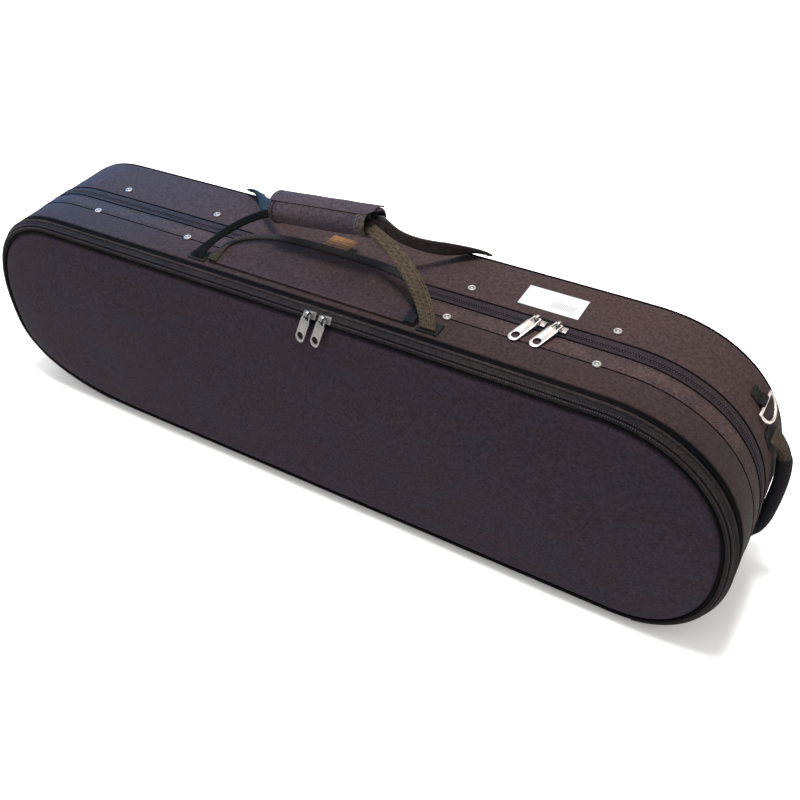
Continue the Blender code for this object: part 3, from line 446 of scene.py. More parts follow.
# Teal on the left, turning brown to the right: the teal left leg is a painted reflection of the cool light.
back_webbing = fabric(
    "back_webbing", (0.009, 0.020, 0.029), (0.016, 0.031, 0.041), 0.6 * MM, ribs=2.1 * MM, roughness=0.8,
    fade=(-0.08, 0.02, (0.034, 0.024, 0.026), (0.056, 0.041, 0.040))
)
end_webbing = fabric("end_webbing", (0.018, 0.0135, 0.010), (0.034, 0.025, 0.018), 0.6 * MM, ribs=2.1 * MM)
patch_cloth = fabric(
    "patch_cloth", (0.004, 0.0045, 0.005), (0.010, 0.009, 0.008), 0.9 * MM, "Object", ribs=2.1 * MM, rib_axis="X"
)
pad_cloth = fabric("pad_cloth", (0.028, 0.0215, 0.028), (0.037, 0.026, 0.0285), 0.8 * MM, "Object", depth=0.3)
flap_cloth = fabric("flap_cloth", (0.015, 0.0100, 0.0122), (0.023, 0.0145, 0.0155), 0.8 * MM, depth=0.3)
edge_cloth = fabric(
    "edge_cloth", (0.007, 0.006, 0.005), (0.017, 0.014, 0.011), 0.6 * MM, ribs=2.6 * MM, rib_axis="X",
    fade=(0.02, 0.09, (0.0025, 0.003, 0.005), (0.005, 0.006, 0.009))
)
sleeve_cloth = fabric("sleeve_cloth", (0.003, 0.003, 0.005), (0.006, 0.005, 0.006), 0.7 * MM, depth=0.2)
thread = fabric("thread", (0.016, 0.014, 0.015), (0.028, 0.024, 0.022), 0.5 * MM, "Object", depth=0.2)
nickel = metal("nickel", (0.21, 0.20, 0.195), 0.34)
slider_metal = metal("slider_metal", (0.36, 0.33, 0.31), 0.34)
rivet_metal = metal("rivet_metal", (0.30, 0.28, 0.27), 0.5)
bright_nickel = metal("bright_nickel", (0.62, 0.56, 0.52), 0.34)
black_plastic = metal("black_plastic", (0.03, 0.03, 0.03), 0.4)
lining = fuzzy("lining", (0.045, 0.020, 0.014), (0.080, 0.038, 0.026))
loop_pile = fuzzy("loop_pile", (0.010, 0.008, 0.008), (0.062, 0.048, 0.043), 420.0, 1800.0, 0.1)
# Near-black for the inside of the wraps' dented open ends: painted shade in that dent.
hollow_painted_shade = fuzzy("hollow_painted_shade", (0.002, 0.002, 0.002), (0.004, 0.004, 0.004), 80.0, 900.0, 0.0)
paper = label_paper("label_paper")
gold_cloth = fabric(
    "gold_cloth", (0.035, 0.016, 0.006), (0.16, 0.072, 0.014), 0.8 * MM, "Object", depth=0.35, roughness=0.5,
    ribs=3.2 * MM, blotch=26.0
)


# Meshes

def finish_mesh(obj, material, sharp=45):
    obj.data.materials.clear()
    obj.data.materials.append(material)
    obj.data.shade_smooth()
    obj.data.set_sharp_from_angle(angle=math.radians(sharp))


def distances(points):
    found = [0.0]
    for a, b in zip(points, points[1:]):
        found.append(found[-1] + (b - a).length)
    return found


def skin(name, rows, material, around=False, along=False, ends=False, sharp=45):
    """A surface over rows of points, with a UV map in metres, flat on the faces that look along Y.

    around closes each row, along joins the last row to the first, ends fills the loops at both ends of the rows.
    """
    count = len(rows[0])
    mesh = bmesh.new()
    layer = mesh.loops.layers.uv.new("UVMap")
    grid = [[mesh.verts.new(p) for p in row] for row in rows]
    sampled = [distances([row[j] for row in rows + rows[:1]]) for j in range(0, count, max(count // 5, 1))]
    u = max(sampled, key=lambda line: line[-1])
    v = max((distances(list(row) + [row[0]]) for row in rows[:: max(len(rows) // 5, 1)]), key=lambda line: line[-1])
    for i in range(len(rows) if along else len(rows) - 1):
        for j in range(count if around else count - 1):
            spots = ((i, j), (i, j + 1), (i + 1, j + 1), (i + 1, j))
            face = mesh.faces.new([grid[a % len(rows)][b % count] for a, b in spots])
            face.normal_update()
            for loop, (a, b) in zip(face.loops, spots):
                flat = abs(face.normal.y) > 0.75
                loop[layer].uv = (loop.vert.co.x, loop.vert.co.z) if flat else (u[a], v[b])
    if around and not along:
        mesh.faces.new(grid[0])
        mesh.faces.new(grid[-1])
    if ends:
        mesh.faces.new([row[0] for row in grid])
        mesh.faces.new([row[-1] for row in grid])
    bmesh.ops.recalc_face_normals(mesh, faces=mesh.faces)
    data = bpy.data.meshes.new(name)
    mesh.to_mesh(data)
    mesh.free()
    obj = bpy.data.objects.new(name, data)
    bpy.context.scene.collection.objects.link(obj)
    finish_mesh(obj, material, sharp)
    return obj


def rounded(profile, radius, steps=3):
    """The closed profile with each corner replaced by a short curve."""
    found = []
    points = [Vector(p) for p in profile]
    count = len(points)
    for k, point in enumerate(points):
        before = points[k - 1]
        after = points[(k + 1) % count]
        start = point + (before - point).normalized() * min(radius, (before - point).length * 0.45)
        end = point + (after - point).normalized() * min(radius, (after - point).length * 0.45)
        for n in range(steps + 1):
            t = n / steps
            found.append(start * (1 - t) ** 2 + point * (2 * t * (1 - t)) + end * t * t)
    return found


def band(name, profile, material, radius=0.5 * MM, span=None, sharp=60, make=ring):
    """A rounded profile of (inset, y) swept round the outline, or along a span of its points."""
    lines = [make(inset, y) for inset, y in rounded(profile, radius)]
    chosen = span if span is not None else range(points_round)
    rows = [[line[i] for line in lines] for i in chosen]
    return skin(name, rows, material, around=True, along=span is None, sharp=sharp)


def sweep(name, stations, material, closed=False, sharp=60):
    """Closed sections carried along a path: each station is (point, across, up, [(a, b), ...])."""
    rows = [[point + across * a + up * b for a, b in shape] for point, across, up, shape in stations]
    return skin(name, rows, material, around=True, along=closed, sharp=sharp)


def oval(wide, tall, sides=12, power=1.0):
    found = []
    for n in range(sides):
        turn = 2 * math.pi * n / sides
        a = math.copysign(abs(math.cos(turn)) ** power, math.cos(turn))
        b = math.copysign(abs(math.sin(turn)) ** power, math.sin(turn))
        found.append((wide * a, tall * b))
    return found


def direction(path, k, closed=False):
    count = len(path)
    before = path[k - 1] if closed or k else path[k]
    after = path[(k + 1) % count] if closed or k < count - 1 else path[k]
    return (after - before).normalized()


def tube(name, path, radius, material, sides=10, closed=False):
    stations = []
    for k, point in enumerate(path):
        run = direction(path, k, closed)
        hint = Vector((0, 1, 0)) if abs(run.y) < 0.9 else Vector((1, 0, 0))
        side = run.cross(hint).normalized()
        stations.append((point, side, side.cross(run), oval(radius, radius, sides)))
    return sweep(name, stations, material, closed, 180)


def stand_for(obj, slot, *nodes):
    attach(obj, home[nodes[0]])
    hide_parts(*nodes)
    return obj


def add_on(obj, node):
    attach(obj, home[node])
    return obj


def studs(name, places, size, material, bevel=0.35):
    """Many small rounded blocks in one mesh: each place is (centre, long, across, up) with unit directions."""
    points = []
    faces = []
    long_half, wide_half, high = size
    for centre, long, across, up in places:
        start = len(points)
        for level, share in ((0.0, 1.0), (1 - bevel, 1.0), (1.0, 1 - bevel)):
            for a, b in ((-1, -1), (1, -1), (1, 1), (-1, 1)):
                points.append(
                    centre + long * (a * long_half * share) + across * (b * wide_half * share) + up * (high * level)
                )
        for level in (0, 4):
            for n in range(4):
                m = (n + 1) % 4
                faces.append((start + level + n, start + level + m, start + level + 4 + m, start + level + 4 + n))
        faces.append(tuple(start + 8 + n for n in range(4)))
        faces.append(tuple(start + n for n in (3, 2, 1, 0)))
    data = bpy.data.meshes.new(name)
    data.from_pydata(points, [], faces)
    obj = bpy.data.objects.new(name, data)
    bpy.context.scene.collection.objects.link(obj)
    finish_mesh(obj, material, 50)
    return obj


def walk(line, pitch, shift=0.0):
    """(point, direction) at even steps along a line of points."""
    found = []
    left = pitch * (0.5 + shift)
    for a, b in zip(line, line[1:]):
        length = (b - a).length
        if length == 0:
            continue
        run = (b - a) / length
        at = left
        while at < length:
            found.append((a + run * at, run))
            at += pitch
        left = at - length
    return found


def closed_line(inset, y, span=None, make=ring):
    line = make(inset, y)
    if span is None:
        return line + line[:1]
    return [line[i] for i in span]


def outward(point, run):
    """The direction square to the run that points away from the middle of the case, seen along Y."""
    up = run.cross(Vector((0, 1, 0))).normalized()
    if up.dot(point - Vector((0, point.y, case_height / 2))) < 0:
        return -up
    return up


def stitches(name, line, material, up_at, pitch=4.2 * MM, length=2.6 * MM, width=0.6 * MM, height=0.4 * MM):
    """A row of thread stitches along a line; up_at gives the way out of the cloth at a point."""
    places = []
    for point, run in walk(line, pitch):
        up = up_at(point, run)
        places.append((point - up * (height * 0.3), run, run.cross(up).normalized(), up))
    return studs(name, places, (length / 2, width / 2, height), material, 0.5)


def bake(obj, material, sharp=180):
    made = bpy.data.meshes.new_from_object(obj.evaluated_get(bpy.context.evaluated_depsgraph_get()))
    obj.modifiers.clear()
    obj.data = made
    finish_mesh(obj, material, sharp)


def copy_of(node, name, material, bevel=0.0, voxel=0.0, smooth=0, sharp=35):
    """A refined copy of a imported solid: welded, then bevelled, or remeshed and softened."""
    source = frame["nodes"][node]
    obj = bpy.data.objects.new(name, source.data.copy())
    bpy.context.scene.collection.objects.link(obj)
    mesh = bmesh.new()
    mesh.from_mesh(obj.data)
    bmesh.ops.remove_doubles(mesh, verts=mesh.verts, dist=0.002 * MM)
    bmesh.ops.dissolve_limit(mesh, angle_limit=math.radians(1), verts=mesh.verts, edges=mesh.edges)
    mesh.to_mesh(obj.data)
    mesh.free()
    if voxel:
        change = obj.modifiers.new("remesh", "REMESH")
        change.mode = "VOXEL"
        change.voxel_size = voxel
    if smooth:
        change = obj.modifiers.new("smooth", "SMOOTH")
        change.factor = 0.5
        change.iterations = smooth
    if bevel:
        change = obj.modifiers.new("bevel", "BEVEL")
        change.width = bevel
        change.segments = 2
        change.limit_method = "ANGLE"
        change.angle_limit = math.radians(25)
    bake(obj, material, 180 if voxel else sharp)
    return obj


def puff(pads, material_of, frames=20):
    """Inflates pads as cloth, caps how far their points move, then bakes the shape with one subdivision."""
    for obj, pressure, cap in pads:
        change = obj.modifiers.new("cloth", "CLOTH")
        change.settings.use_pressure = True
        change.settings.uniform_pressure_force = pressure
        change.settings.effector_weights.gravity = 0
    for number in range(1, frames + 1):
        bpy.context.scene.frame_set(number)
    graph = bpy.context.evaluated_depsgraph_get()
    for obj, pressure, cap in pads:
        moved = [v.co.copy() for v in obj.evaluated_get(graph).data.vertices]
        obj.modifiers.clear()
        for vert, spot in zip(obj.data.vertices, moved):
            shift = spot - vert.co
            if shift.length > cap:
                shift *= cap / shift.length
            vert.co += shift
    bpy.context.scene.frame_set(1)
    for obj, pressure, cap in pads:
        obj.modifiers.new("finer", "SUBSURF").levels = 1
        bake(obj, material_of[obj.name])


# Back half

def face_rings(inset, y, shares):
    """Flat rings that shrink from one at this inset towards the middle of the case."""
    middle = Vector((0, y, case_height / 2))
    return [[p.lerp(middle, share) for p in ring(inset, y)] for share in shares]


def capped_shell(name, profile, material):
    """A tray from its first ring round to its last, with both ends filled."""
    shares = (0.04, 0.14, 0.3, 0.5, 0.7, 0.96)
    lines = face_rings(*profile[0], shares)[::-1]
    lines += [ring(inset, y) for inset, y in profile]
    lines += face_rings(*profile[-1], shares)
    return skin(name, [list(column) for column in zip(*lines)], material, along=True, ends=True, sharp=50)


back_profile = [(back_edge_radius, back_depth)]
for step in range(80, -1, -10):
    turn = math.radians(step)
    back_profile.append((
        back_edge_radius * (1 - math.cos(turn)), back_depth - back_edge_radius * (1 - math.sin(turn))
    ))
stand_for(
    capped_shell(
        "back_wall",
        back_profile
        + [
            (0, back_band_width + 0.8 * MM),
            (0.35 * MM, back_band_width + 0.2 * MM),
            (1.5 * MM, back_band_width),
            (1.5 * MM, 0.3 * MM),
            (shell_wall, 0.3 * MM),
            (shell_wall, back_depth - shell_wall - 4 * MM),
            (shell_wall + 4 * MM, back_depth - shell_wall),
        ],
        wall_cloth_painted_light,
    ),
    "shell_fabric",
    "back_shell",
)
cord_reach = (back_edge_radius + 0.4 * MM) * math.cos(math.radians(45))
back_cord_inset = back_edge_radius - cord_reach
stand_for(
    tube("back_cord", ring(back_cord_inset, back_depth - back_cord_inset), piping_radius, cord_cloth, closed=True),
    "binding",
    "back_piping",
)
stand_for(
    band(
        "zip_band_back",
        [(0, 7.7 * MM), (0, 1.9 * MM), (0.2 * MM, 0.3 * MM), (tape_thickness, 0.3 * MM), (tape_thickness, 7.7 * MM)],
        zip_cloth,
        0.4 * MM,
        zip_span,
    ),
    "zip_fabric",
    "zip_tape_back",
)
stand_for(
    band(
        "spine_back",
        [(0, 7.7 * MM), (0, -1.2 * MM), (tape_thickness, -1.2 * MM), (tape_thickness, 7.7 * MM)],
        binding_cloth,
        0.4 * MM,
        spine_span,
    ),
    "binding",
    "spine_strip_back",
)

# Lid half
lid_face = -lid_depth
stand_for(
    capped_shell(
        "front_wall",
        [
            (3 * MM, lid_face),
            (3 * MM, lid_face + 2.7 * MM),
            (1.2 * MM, lid_face + 2.7 * MM),
            (0.5 * MM, lid_face + 3.0 * MM),
            (0.1 * MM, lid_face + 3.5 * MM),
            (0, lid_face + 4.2 * MM),
            (0, -hem_edge - 1.2 * MM),
            (0.35 * MM, -hem_edge - 0.6 * MM),
            (1.5 * MM, -hem_edge - 0.3 * MM),
            (1.5 * MM, -1.5 * MM),
            (shell_wall, -1.5 * MM),
            (shell_wall, lid_face + shell_wall + 2 * MM),
            (shell_wall + 2 * MM, lid_face + shell_wall),
        ],
        front_cloth,
    ),
    "shell_fabric",
    "front_shell",
)
stand_for(
    tube("front_cord", ring(piping_radius, lid_face + 1.05 * MM), piping_radius, cord_cloth, closed=True),
    "binding",
    "front_piping",
)
stand_for(
    band(
        "zip_band_front",
        [(0, -6.6 * MM), (0, -1.9 * MM), (0.2 * MM, -0.3 * MM), (tape_thickness, -0.3 * MM),
         (tape_thickness, -6.6 * MM)],
        zip_cloth,
        0.4 * MM,
        zip_span,
    ),
    "zip_fabric",
    "zip_tape_front",
)
stand_for(
    band(
        "spine_front",
        [(0, -6.6 * MM), (0, -1.5 * MM), (tape_thickness, -1.5 * MM), (tape_thickness, -6.6 * MM)],
        binding_cloth,
        0.4 * MM,
        spine_span,
    ),
    "binding",
    "spine_strip_front",
)
stand_for(
    band(
        "hem_strip",
        [(0.2 * MM, -hem_edge), (-0.3 * MM, -hem_edge + 1.5 * MM), (-0.5 * MM, -15.5 * MM),
         (-0.3 * MM, -8.4 * MM), (0.2 * MM, -6.9 * MM), (tape_thickness, -6.9 * MM), (tape_thickness, -hem_edge)],
        hem_cloth,
        0.8 * MM,
    ),
    "panel_fabric",
    "front_hem",
)
for label, y in (("far", -9.4 * MM), ("near", -21.6 * MM)):
    line = closed_line(-0.3 * MM, y)
    add_on(stitches(f"hem_stitches_{label}", line, thread, outward), "front_hem")


def coil(name, side, inset, y, pitch, size, node, tilt=0.0, span=zip_span, make=ring):
    """One half of a coil zip: short rounded teeth along a line at one depth."""
    places = []
    lean = Vector((0, math.cos(tilt), 0))
    for point, run in walk(closed_line(inset, y, span, make), pitch, 0.25 * side):
        up = outward(point, run)
        across = (lean - up * math.sin(tilt)).normalized()
        lift = run.cross(across).normalized()
        if lift.dot(up) < 0:
            lift = -lift
        places.append((point, run, across, lift))
    return add_on(studs(name, places, size, coil_plastic, 0.4), node)


# Black cords at the seams; the thick one beside the pocket's ridge fills the gap there with black: painted shade over
# the seam line.
for label, inset, y, radius, span, node in (
    ("far", 0.1 * MM, 7.85 * MM, 0.85 * MM, zip_span, "zip_tape_back"),
    ("near", 0.1 * MM, -6.75 * MM, 0.85 * MM, zip_span, "zip_tape_front"),
    ("hem", 0.35 * MM, -24.5 * MM, 0.65 * MM, range(points_round), "front_hem"),
    ("groove", 2 * MM, (seat + ridge_back) / 2, 1.9 * MM, range(points_round), "pocket_gusset"),
):
    line = [ring(inset, y)[i] for i in span]
    closed = label in ("hem", "groove")
    add_on(tube(f"seam_{label}", line, radius, cord_cloth, 8, closed), node)
coil("coil_back", 1, 0.1 * MM, 1.15 * MM, 2.2 * MM, (0.75 * MM, 0.85 * MM, 0.75 * MM), "zip_tape_back")
coil("coil_front", -1, 0.1 * MM, -1.15 * MM, 2.2 * MM, (0.75 * MM, 0.85 * MM, 0.75 * MM), "zip_tape_front")

# Pocket
stand_for(
    band(
        "pocket_wall",
        [
            (0.9 * MM, ridge_front), (0, ridge_front + 0.9 * MM), (0, ridge_back - 0.9 * MM), (0.9 * MM, ridge_back),
            (3 * MM, ridge_back + 0.9 * MM), (4.5 * MM, seat), (7.5 * MM, seat), (7.5 * MM, seat - 1 * MM),
            (4.6 * MM, ridge_back), (2.5 * MM, ridge_back - 0.9 * MM), (2.5 * MM, ridge_front),
        ],
        ridge_cloth,
        0.8 * MM,
        make=pocket_ring,
    ),
    "panel_fabric",
    "pocket_gusset",
)
cover_end = Vector((split_inset, front_face + 2.2 * MM))
cover_start = Vector((split_inset + 3.1 * MM, front_face + 0.6 * MM))
cover_run = (cover_end - cover_start).normalized()
cover_in = Vector((cover_run.y, -cover_run.x)) * MM
stand_for(
    band(
        "cover_tape",
        [cover_start, cover_end, cover_end + cover_in, cover_start + cover_in],
        tape_cloth,
        0.3 * MM,
        make=pocket_ring,
    ),
    "panel_fabric",
    "pocket_cover_tape",
)
lid_start = cover_end + Vector((-0.7 * MM, 0.4 * MM))
lid_end = Vector((1.2 * MM, front_face + 6.4 * MM))
lid_run = (lid_end - lid_start).normalized()
lid_in = Vector((lid_run.y, -lid_run.x)) * MM
stand_for(
    band(
        "pocket_tape",
        [lid_start, lid_end, lid_end + lid_in, lid_start + lid_in],
        tape_cloth,
        0.3 * MM,
        make=pocket_ring,
    ),
    "panel_fabric",
    "pocket_zip_tape",
)
stand_for(
    tube(
        "panel_cord",
        pocket_ring(panel_piping_inset, front_face + piping_radius),
        piping_radius,
        cord_cloth,
        closed=True,
    ),
    "binding",
    "pocket_panel_piping",
)


def pocket_front(name):
    """The pocket's face: tucked behind its cord, full in the middle, with slow waves and puckers at the seam."""
    edge_inset = panel_piping_inset + piping_radius + 0.1 * MM
    steps = 40
    edge = ring(edge_inset, front_face)
    inner = ring(edge_inset + MM, front_face)
    lines = []
    for k in range(steps):
        share = (k / steps) ** 1.5 * 0.985
        row = []
        for n, p in enumerate(edge):
            to_middle = Vector((0, front_face, case_height / 2)) - p
            at = p + to_middle * share
            deep = max(to_middle.dot((inner[n] - p) / MM), 0) * share
            full = 1 - math.exp(-deep / (50 * MM))
            crown = panel_crown * (1 - math.exp(-deep / crown_reach))
            tuck = 1.8 * MM * math.exp(-deep / (2.2 * MM))
            wave = noise.noise(Vector((at.x * 8, 2.0, at.z * 12))) * 1.5
            wave += noise.noise(Vector((at.x * 26, 5.0, at.z * 30))) * 0.4
            pucker = math.sin(n * 2.1) * 0.14 * math.exp(-deep / (9 * MM)) * (1 if k else 0)
            at.y = front_face - swell_at(at.z) - crown + tuck - (wave * full + pucker) * MM
            row.append(at)
        lines.append(row)
    rows = [list(column) for column in zip(*lines)]
    obj = skin(name, rows, panel_cloth_painted_shade, along=True, sharp=180)
    mesh = bmesh.new()
    mesh.from_mesh(obj.data)
    bmesh.ops.holes_fill(mesh, edges=[e for e in mesh.edges if e.is_boundary and abs(e.verts[0].co.x) < 0.1])
    bmesh.ops.recalc_face_normals(mesh, faces=mesh.faces)
    if sum(face.normal.y for face in mesh.faces) > 0:
        bmesh.ops.reverse_faces(mesh, faces=mesh.faces)
    mesh.to_mesh(obj.data)
    mesh.free()
    finish_mesh(obj, panel_cloth_painted_shade, 180)
    return obj


panel = stand_for(pocket_front("pocket_face"), "panel_fabric", "pocket_panel")

coil("pocket_coil_cover", 1, split_inset + 0.8 * MM, front_face + 1.45 * MM, 1.9 * MM,
     (0.62 * MM, 0.7 * MM, 0.6 * MM), "pocket_cover_tape", math.radians(-27), make=pocket_ring)
coil("pocket_coil_lid", -1, split_inset - 1.3 * MM, front_face + 3.2 * MM, 1.9 * MM,
     (0.62 * MM, 0.7 * MM, 0.6 * MM), "pocket_zip_tape", math.radians(-45), make=pocket_ring)

# Rivets: a domed rim round a deep centre
rivet_profile = (
    (0.999, 0), (1.0, 0.4), (0.97, 0.68), (0.88, 0.92), (0.77, 1.0), (0.66, 0.97), (0.56, 0.84),
    (0.49, 0.6), (0.45, 0.3), (0.42, 0.12), (0.2, 0.08), (0.02, 0.08),
)
for row in ("front", "back"):
    for number in range(1, 5):
        node = f"{row}_rivet_{number}"
        low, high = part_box(node)
        spot = Vector(((low.x + high.x) / 2, (low.y + high.y) / 2, low.z))
        radius = (high.x - low.x) / 2 * 0.9
        rows = []
        for wide, rise in rivet_profile:
            rows.append([
                spot + Vector((a * radius * wide, b * radius * wide, 1.5 * MM * rise)) for a, b in oval(1, 1, 36)
            ])
        stand_for(skin(f"stud_{row}_{number}", rows, rivet_metal, around=True, sharp=70), "nickel", node)

# Metal fittings, bevelled
for node in ("main_slider_left", "main_slider_right"):
    stand_for(copy_of(node, node + "_body", slider_metal, bevel=0.3 * MM), "dark_metal", node)
for node in ("pocket_slider_left", "pocket_slider_right"):
    stand_for(copy_of(node, node + "_body", nickel, bevel=0.25 * MM), "dark_metal", node)
for node in ("main_pull_left", "main_pull_right", "pocket_pull_left", "pocket_pull_right"):
    coat = slider_metal if "main" in node else nickel
    stand_for(copy_of(node, node + "_tag", coat, bevel=0.3 * MM), "nickel", node)

# D-rings: a straight bar in the tab's eye and a half round of wire below it
joint_at = {joint["name"]: joint for joint in frame["record"]["behaviour"]["joints"]}
dring_half = 15 * MM
dring_wire = 1.3 * MM
for side in ("left", "right"):
    node = f"dring_{side}"
    eye = Vector(joint_at[f"dring_{side}_swing"]["pos_m"])
    low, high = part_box(node)
    far = high.x if high.x - eye.x > eye.x - low.x else low.x
    down = Vector((far - eye.x, 0, low.z - eye.z)).normalized()
    path = []
    for k in range(33):
        angle = math.pi * k / 32
        path.append(eye + down * (15 * MM * math.sin(angle)) + Vector((0, dring_half * math.cos(angle), 0)))
    path += [path[-1].lerp(path[0], k / 8) for k in range(1, 8)]
    stand_for(tube(f"dring_{side}_wire", path, dring_wire, bright_nickel, 14, closed=True), "nickel", node)


# Carrying loops: ribbed webbing on the same curves as the part's bands

def bezier(a, b, c, d, steps):
    found = []
    for k in range(steps + 1):
        t = k / steps
        found.append(a * (1 - t) ** 3 + b * 3 * t * (1 - t) ** 2 + c * 3 * t * t * (1 - t) + d * t**3)
    return found


def grip_height(x):
    return grip_heights[0] + (grip_heights[1] - grip_heights[0]) * (x - grip_left) / (grip_right - grip_left)


def ribbed(width, thick, ribs=4, depth=0.16 * MM):
    """The section of webbing: flat with thin rounded edges and shallow lengthwise ridges."""
    top = []
    for k in range(ribs * 4 + 1):
        s = k / (ribs * 2) - 1
        rise = thick / 2 * (0.25 + 0.75 * math.sqrt(max(1 - abs(s) ** 5, 0)))
        ridge = depth * math.cos(math.pi * ribs * s) * (1 - abs(s) ** 5)
        top.append((s * width / 2, rise + ridge))
    return top + [(a, -b) for a, b in reversed(top)]


def share_of(table, place):
    for (a, low), (b, high) in zip(table, table[1:]):
        if place <= b:
            return low + (high - low) * (place - a) / (b - a)


def carrying_band(name, material, from_parting, sinks, lean, bases, axis, grip_end, legs, widths, turned=None):
    """A sewn-down band of webbing: two legs on the part's curves and a run inside the wrap.

    turned is where the left leg's width points halfway up, if it twists on its way to the wrap.
    """
    angle = math.radians(lean)
    wide = Vector((0, math.cos(angle), math.sin(angle)))
    face = Vector((0, -math.sin(angle), math.cos(angle)))
    steps = 40
    path = []
    for side, x in (("left", grip_left - strap_run_out), ("right", grip_end + strap_run_out)):
        way = (x - grip_left) / (grip_right - grip_left)
        base = Vector((bases[side], axis[0], axis[1]))
        end = Vector((x, from_parting, grip_height(x) - sinks[0] - (sinks[1] - sinks[0]) * way))
        shaped = [Vector(a + (b - a) * c for a, b, c in zip(base, end, shares)) for shares in legs[side]]
        leg = bezier(base, *shaped, end, steps)
        path += leg if side == "left" else leg[::-1]
    last = len(path) - 1
    stations = []
    for k, point in enumerate(path):
        share = min(k, last - k) / steps
        run = direction(path, k)
        flat = Vector((1, 0, 0)) if k <= steps else Vector((-1, 0, 0))
        side = flat.lerp(run.cross(face).normalized(), min(share * 2, 1)).normalized()
        if turned and k < steps:
            side = flat.lerp(turned, min(share * 1.7, 1)).lerp(-wide, max(share * 4 - 3, 0))
            side = (side - run * side.dot(run)).normalized()
        up = side.cross(run).normalized()
        if share == 1:
            side = -wide
            up = face
        width = share_of(widths["left" if k <= steps else "right"], share) * MM
        stations.append((point, side, up, ribbed(width, strap_thickness * 0.92)))
    return sweep(name, stations, material, sharp=60)


joint_front = Vector(joint_at["front_loop_hinge"]["pos_m"])
joint_back = Vector(joint_at["back_loop_hinge"]["pos_m"])
stand_for(
    carrying_band(
        "front_strap", front_webbing, -5.2 * MM, (3.6 * MM, 3.2 * MM), 43,
        {"left": -106.5 * MM, "right": 131 * MM}, (joint_front.y, joint_front.z), grip_right, front_leg_shares,
        {"left": ((0, 15), (0.12, 10), (0.3, 7), (1, 7.5)), "right": ((0, 15), (0.5, 14), (1, 10))},
    ),
    "webbing",
    "handle_front_strap",
)
stand_for(
    carrying_band(
        "back_strap", back_webbing, 5.3 * MM, (2 * MM, 3 * MM), 90,
        {"left": -128 * MM, "right": 122 * MM}, (joint_back.y, joint_back.z), back_grip_right, back_leg_shares,
        {"left": ((0, 19), (0.3, 14), (1, 13)), "right": ((0, 19), (0.5, 17), (1, 14))},
        Vector((0.3, -0.75, -0.6)),
    ),
    "webbing",
    "handle_back_strap",
)


def wrap_line(x, proud, toward, first=-78, last=78, steps=26):
    """Points round one half of the padded wrap at this x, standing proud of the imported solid."""
    way = (x - grip_left) / (grip_right - grip_left)
    deep = grip_half_depths[0] + (grip_half_depths[1] - grip_half_depths[0]) * way + proud
    tall = grip_half_heights[0] + (grip_half_heights[1] - grip_half_heights[0]) * way + proud
    found = []
    for k in range(steps + 1):
        angle = math.radians(first + (last - first) * k / steps)
        found.append(Vector((x, 0.5 * MM - toward * deep * math.cos(angle), grip_height(x) + tall * math.sin(angle))))
    return found


def from_grip(point, run):
    return Vector((0, point.y, point.z - grip_height(point.x))).normalized()


# Flap over the zip: a padded tongue with a bound edge
flap_middle = (flap_left + flap_right) / 2
flap_half = (flap_right - flap_left) / 2
flap_foot = case_height + gap


def flap_point(turn, share, over):
    """A point of the flap: turn runs -1 to 1 along it, share from the fixed edge to the free one."""
    deep = flap_end + (flap_reach - flap_end) * (1 - abs(turn) ** flap_power) ** (1 / flap_power)
    swell = (deep - flap_end) / (flap_reach - flap_end)
    foot = flap_foot + flap_rise * share * swell
    thick = flap_edge_thickness + (flap_thickness - flap_edge_thickness) * math.sin(math.pi * share)
    return Vector((flap_middle + flap_half * turn, -flap_front + share * deep, foot + (thick if over else 0)))


flap_rows = []
for k in range(61):
    turn = -math.cos(math.pi * k / 60)
    under = [flap_point(turn, n / 16, False) for n in range(17)]
    over = [flap_point(turn, n / 16, True) for n in range(17)]
    flap_rows.append(under + over[::-1])
flap_top = skin("flap_body", flap_rows, flap_cloth, around=True, sharp=50)
stand_for(flap_top, "shell_fabric", "flap")


def on_flap(point):
    """The same place, lifted or lowered to the flap's upper surface."""
    turn = max(min((point.x - flap_middle) / flap_half, 1), -1)
    deep = flap_end + (flap_reach - flap_end) * (1 - abs(turn) ** flap_power) ** (1 / flap_power)
    share = max(min((point.y + flap_front) / deep, 1), 0)
    return Vector((point.x, point.y, flap_point(turn, share, True).z))


sides = [flap_point(-1, n / 6, True) for n in range(6)]
edge_path = sides + [flap_point(-math.cos(math.pi * k / 90), 1, True) for k in range(91)]
edge_path += [Vector((2 * flap_middle - p.x, p.y, p.z)) for p in reversed(sides)]
binding_width = 9.5 * MM
edge_stations = []
seam = []
for k, point in enumerate(edge_path):
    run = direction(edge_path, k)
    inward = Vector((run.y, -run.x, 0)).normalized()
    outer = on_flap(point - inward * 0.5 * MM)
    inner = on_flap(point + inward * binding_width)
    across = (inner - outer).normalized()
    centre = on_flap((outer + inner) / 2).lerp((outer + inner) / 2, 0.5) + Vector((0, 0, 0.5 * MM))
    edge_stations.append((centre, across, Vector((0, 0, 1)), oval(binding_width / 2 + 0.2 * MM, 1.2 * MM, 16, 0.6)))
    seam.append(on_flap(point + across * (binding_width - 2 * MM)) + Vector((0, 0, 1.5 * MM)))
add_on(sweep("flap_binding", edge_stations, edge_cloth), "flap")
add_on(stitches("flap_stitches", seam, thread, lambda p, run: Vector((0, 0, 1)), 3.6 * MM, 2.2 * MM), "flap")

